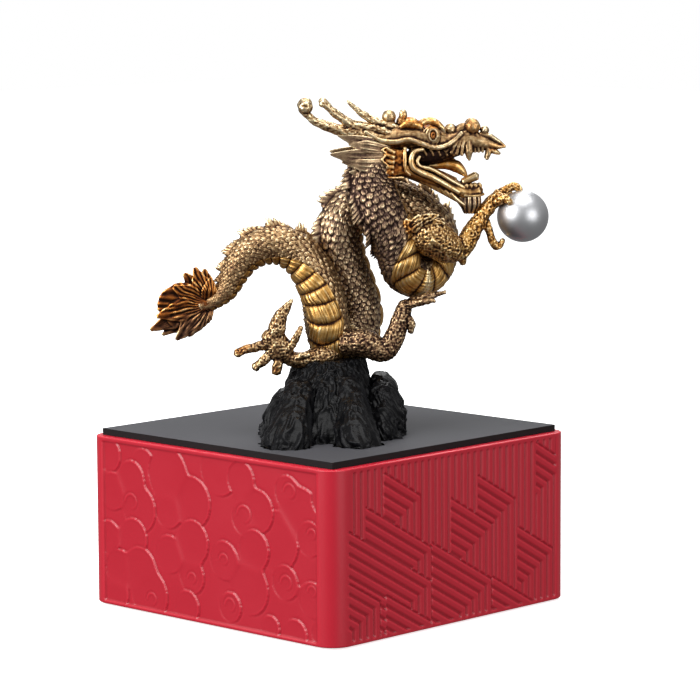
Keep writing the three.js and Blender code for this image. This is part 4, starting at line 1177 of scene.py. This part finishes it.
for word, side in SIDES:
    beam = [
        limb([(27, -5.6, 136.8, 2.4), (21, -7, 137.6, 2.5), (14, -8, 138, 2.6), (7, -8.8, 139, 2.3),
              (0, -9.4, 141, 2),
              (-6, -9.8, 143.4, 1.7), (-10.4, -10, 147.6, 1.6)], 12),
        limb([(16, -8, 139, 2), (9, -8.4, 143, 1.9), (2, -9, 148.2, 1.7), (-1.8, -9.2, 152, 1.5)], 12),
        lump(-2.2, -9.2, 151.8, 1.8),
        lump(-10.2, -9.8, 150.2, 3.5),
        limb([(33, -5, 139.6, 1.8), (26, -5.6, 141.8, 2), (19, -6.2, 144.6, 1.7), (13.8, -6.8, 148.4, 1.2),
              (9.4, -7.4, 152.2, 0.6)], 12),
        limb([(30, -6.5, 137.4, 1.6), (23, -7.8, 139.8, 1.8), (15, -8.6, 141.6, 1.3), (8, -9, 143.4, 0.7)],
             12),
    ]
    points, quads = fuse(on_side(side, beam), voxel=0.34, smoothing=2)
    out = normals_of(points, quads)
    knobs = 0.32 * grain_at(points, (2.6, 1.6, 1.3), 31) + 0.16 * grain_at(points, 0.9, 32)
    points = points + out * knobs[:, None]
    cast(f"{word}_horn_casting", points, quads, f"{word}_horn", gold=0.35, depth=0.2)
    locks = (
        lock((27, -8.5, 133), (4.2, -10.4, 137.2), 5.4, 6, (0, -1.5, -1.2), 0.84)
        + lock((27, -9, 130.5), (9.4, -10.8, 133), 4.6, 5, (0, -2.2, 0.4), 0.84)
        + lock((28, -9.6, 127.4), (0.6, -11.4, 128.6), 6.6, 7, (0, -1.5, -0.8), 0.84)
        + lock((28, -9.6, 124), (6, -11.4, 125), 5, 6, (0, -2.4, -1), 0.84)
        + lock((28.5, -9, 120.4), (9.6, -11.6, 120.4), 5.4, 6, (0, -1.4, -1), 0.84)
        + lock((27, -8, 117), (14.4, -11, 115.4), 4.4, 5, (0, -1, -0.6), 0.84)
        + [lump(27, -7.5, 126, 3.4, 3, 8)]
    )
    points, quads = fuse(on_side(side, locks), voxel=0.34, smoothing=1)
    cast(f"{word}_mane_casting", points, quads, f"{word}_mane", gold=0.08, depth=0.34, shade=-0.08)

# Eyes: small oval beads with a sunk pupil, washed amber, rubbed bright and pressed into the skull. They
# are cast in the same bronze as the head.
EYE_PROFILE = (  # radius, and how far it stands out, from the pupil to the back
    (0.02, 0.55), (0.4, 0.62), (0.62, 0.95), (0.9, 1.1), (1.3, 0.9), (1.6, 0.3), (1.7, -0.6),
)
EYE_COLUMNS = 32
angle = np.linspace(0, 2 * np.pi, EYE_COLUMNS, endpoint=False)
for word, side in SIDES:
    rows = [
        np.column_stack([0.75 * r * np.cos(angle), np.full(EYE_COLUMNS, side * out), 1.1 * r * np.sin(angle)])
        for r, out in EYE_PROFILE
    ]
    points = np.concatenate(rows) + (48.5, side * 9.2, 136.9)
    pupil = list(range(EYE_COLUMNS))
    back = [v + (len(rows) - 1) * EYE_COLUMNS for v in pupil]
    faces = ring_faces(len(rows), EYE_COLUMNS).tolist() + [pupil[::-1], back]
    if side < 0:
        faces = [face[::-1] for face in faces]
    bead = make(f"{word}_eye_bead", on_lid(points), faces, bronze, "lid", f"{word}_eye")
    dress(bead, worn=0.55, gold=0.3, amber=0.7)

# The pearl: a stock steel ball, bored for its stud and brushed to a satin. The satin blurs what it
# reflects, with a slight cloudiness from handling. Its scratches are drawn at 0.4 mm, so that they show.
satin_steel = new_material("satin_steel")
place = add(satin_steel, "TexCoord", {})
handling = add(
    satin_steel, "TexNoise", {"Vector": place.outputs["Object"], "Scale": per_mm(14), "Detail": 3.0}
)
brushed = add(
    satin_steel, "TexNoise", {"Vector": place.outputs["Object"], "Scale": per_mm(0.4), "Detail": 2.0}
)
tone = add(
    satin_steel,
    "MixRGB",
    {"Fac": handling.outputs["Fac"], "Color1": linear("#B6B7BA"), "Color2": linear("#C8C9CB")},
)
satin = add(satin_steel, "MapRange", {"Value": handling.outputs["Fac"], "To Min": 0.38, "To Max": 0.46})
scratch = add(satin_steel, "Bump", {"Height": brushed.outputs["Fac"], "Strength": 0.08, "Distance": 0.0001})
shader = add(
    satin_steel,
    "BsdfPrincipled",
    {
        "Base Color": tone.outputs["Color"],
        "Metallic": 1.0,
        "Roughness": satin.outputs["Result"],
        "Normal": scratch.outputs["Normal"],
    },
)
add(satin_steel, "OutputMaterial", {"Surface": shader.outputs["BSDF"]})
PEARL = np.array([90.5, 0, 98.5])
STUD_FOOT = np.array([78, -0.9, 105.6])
PEARL_RADIUS = 12
PEARL_COLUMNS = 96
BORE_RADIUS = 1.7
BORE_DEPTH = 8.0
to_stud = STUD_FOOT - PEARL
to_stud /= np.linalg.norm(to_stud)
across = np.cross(to_stud, [0, 1, 0])
across /= np.linalg.norm(across)
level_with = np.cross(to_stud, across)
angle = np.linspace(0, 2 * np.pi, PEARL_COLUMNS, endpoint=False)
bore_edge = math.asin(BORE_RADIUS / PEARL_RADIUS)
bore_end = PEARL_RADIUS - BORE_DEPTH
arc = np.linspace(math.pi - 0.01, bore_edge, 64)
profile = [(PEARL_RADIUS * math.sin(a), PEARL_RADIUS * math.cos(a)) for a in arc]
profile += [(BORE_RADIUS - 0.2, profile[-1][1] - 0.3), (BORE_RADIUS - 0.2, bore_end), (0.02, bore_end)]
rows = [
    PEARL + np.outer(np.cos(angle), across) * r + np.outer(np.sin(angle), level_with) * r + to_stud * h
    for r, h in profile
]
points = np.concatenate(rows + [[PEARL - to_stud * PEARL_RADIUS], [PEARL + to_stud * bore_end]])
faces = capped_faces(len(rows), PEARL_COLUMNS).tolist()
make("steel_pearl", on_lid(points), faces, satin_steel, "lid", "pearl")

# The floor: a wide sheet of white paper, matt, with a very faint tooth. It glows a little, as if lit from
# below, and throws none of that onto the object.
FLOOR_REACH = 4.0  # metres from the middle to each edge
paper = new_material("white_paper")
place = add(paper, "TexCoord", {})
tooth = add(paper, "TexNoise", {"Vector": place.outputs["Object"], "Scale": per_mm(60)})
tone = add(
    paper,
    "MixRGB",
    {"Fac": tooth.outputs["Fac"], "Color1": linear("#F6F6F6"), "Color2": linear("#FBFBFB")},
)
shader = add(
    paper,
    "BsdfPrincipled",
    {
        "Base Color": tone.outputs["Color"],
        "Roughness": 0.8,
        "Emission Color": (1, 1, 1, 1),
        "Emission Strength": 0.72,
    },
)
add(paper, "OutputMaterial", {"Surface": shader.outputs["BSDF"]})
mesh = bpy.data.meshes.new("floor_sheet")
corners = ((-1, -1), (1, -1), (1, 1), (-1, 1))
mesh.from_pydata([(x * FLOOR_REACH, y * FLOOR_REACH, 0) for x, y in corners], [], [(0, 1, 2, 3)])
mesh.materials.append(paper)
floor_sheet = bpy.data.objects.new("floor_sheet", mesh)
bpy.context.collection.objects.link(floor_sheet)
floor_sheet.visible_diffuse = False
floor_sheet.visible_glossy = False

# Light: a white studio. A broad soft light from the front left shows the clouds, a weaker one fills from
# the right and another from behind, and an overhead panel puts a bright edge on the tops of the castings.


def softbox(name, where, aim, side, watts):
    """A square soft light, `side` metres across, that faces a point."""
    lamp = bpy.data.lights.new(name, "AREA")
    lamp.shape = "RECTANGLE"
    lamp.size = side
    lamp.size_y = side
    lamp.energy = watts
    box = bpy.data.objects.new(name, lamp)
    box.location = where
    box.rotation_mode = "QUATERNION"
    box.rotation_quaternion = (Vector(aim) - Vector(where)).to_track_quat("-Z", "Y")
    bpy.context.collection.objects.link(box)


softbox("key_left", (-0.35, -1.4, 0.7), (0, 0, 0.1), 1.1, 27)
softbox("fill_right", (1.4, -0.1, 0.4), (0, 0, 0.1), 0.9, 8)
softbox("overhead", (0.1, 0.0, 1.25), (0, 0, 0.15), 0.9, 11)
softbox("fill_back", (-0.75, 0.9, 1.0), (0, 0, 0.1), 0.6, 5)
studio = bpy.data.worlds.new("white_studio")
bpy.context.scene.world = studio
studio.use_nodes = True
studio.node_tree.nodes.clear()
facing = add(studio, "TexCoord", {})
height = add(studio, "SeparateXYZ", {"Vector": facing.outputs["Generated"]})
dome = add(
    studio,
    "MapRange",
    {"Value": height.outputs["Z"], "From Min": -0.35, "From Max": 0.9, "To Min": 0.26, "To Max": 0.58},
    interpolation_type="SMOOTHSTEP",
)
sky = add(studio, "Background", {"Color": (1, 1, 1, 1), "Strength": dome.outputs["Result"]})
backdrop = add(studio, "Background", {"Color": (1, 1, 1, 1), "Strength": 1.0})
path = add(studio, "LightPath", {})
choose = add(
    studio,
    "MixShader",
    {"Fac": path.outputs["Is Camera Ray"], 1: sky.outputs["Background"], 2: backdrop.outputs["Background"]},
)
add(studio, "OutputWorld", {"Surface": choose.outputs["Shader"]})
bpy.context.scene.view_settings.view_transform = "Standard"

# The camera: a long lens, a little above the dragon's head and square to its flank.
AIM = Vector((0, 0, 0.120))
DISTANCE = 1.518
ROLL = math.radians(-0.34)
azimuth, elevation = math.radians(44.27), math.radians(7.27)
level_back = Vector((math.sin(azimuth), -math.cos(azimuth), 0)) * math.cos(elevation)
back = level_back + Vector((0, 0, math.sin(elevation)))
lens = bpy.data.cameras.new("camera")
lens.lens = 166.96
lens.sensor_width = 36
lens.shift_x, lens.shift_y = 0.0306, -0.0025
lens.clip_start = 0.05
camera = bpy.data.objects.new("camera", lens)
camera.location = AIM + back * DISTANCE
camera.rotation_mode = "QUATERNION"
camera.rotation_quaternion = (-back).to_track_quat("-Z", "Y") @ Quaternion((0, 0, 1), ROLL)
bpy.context.collection.objects.link(camera)
bpy.context.scene.camera = camera
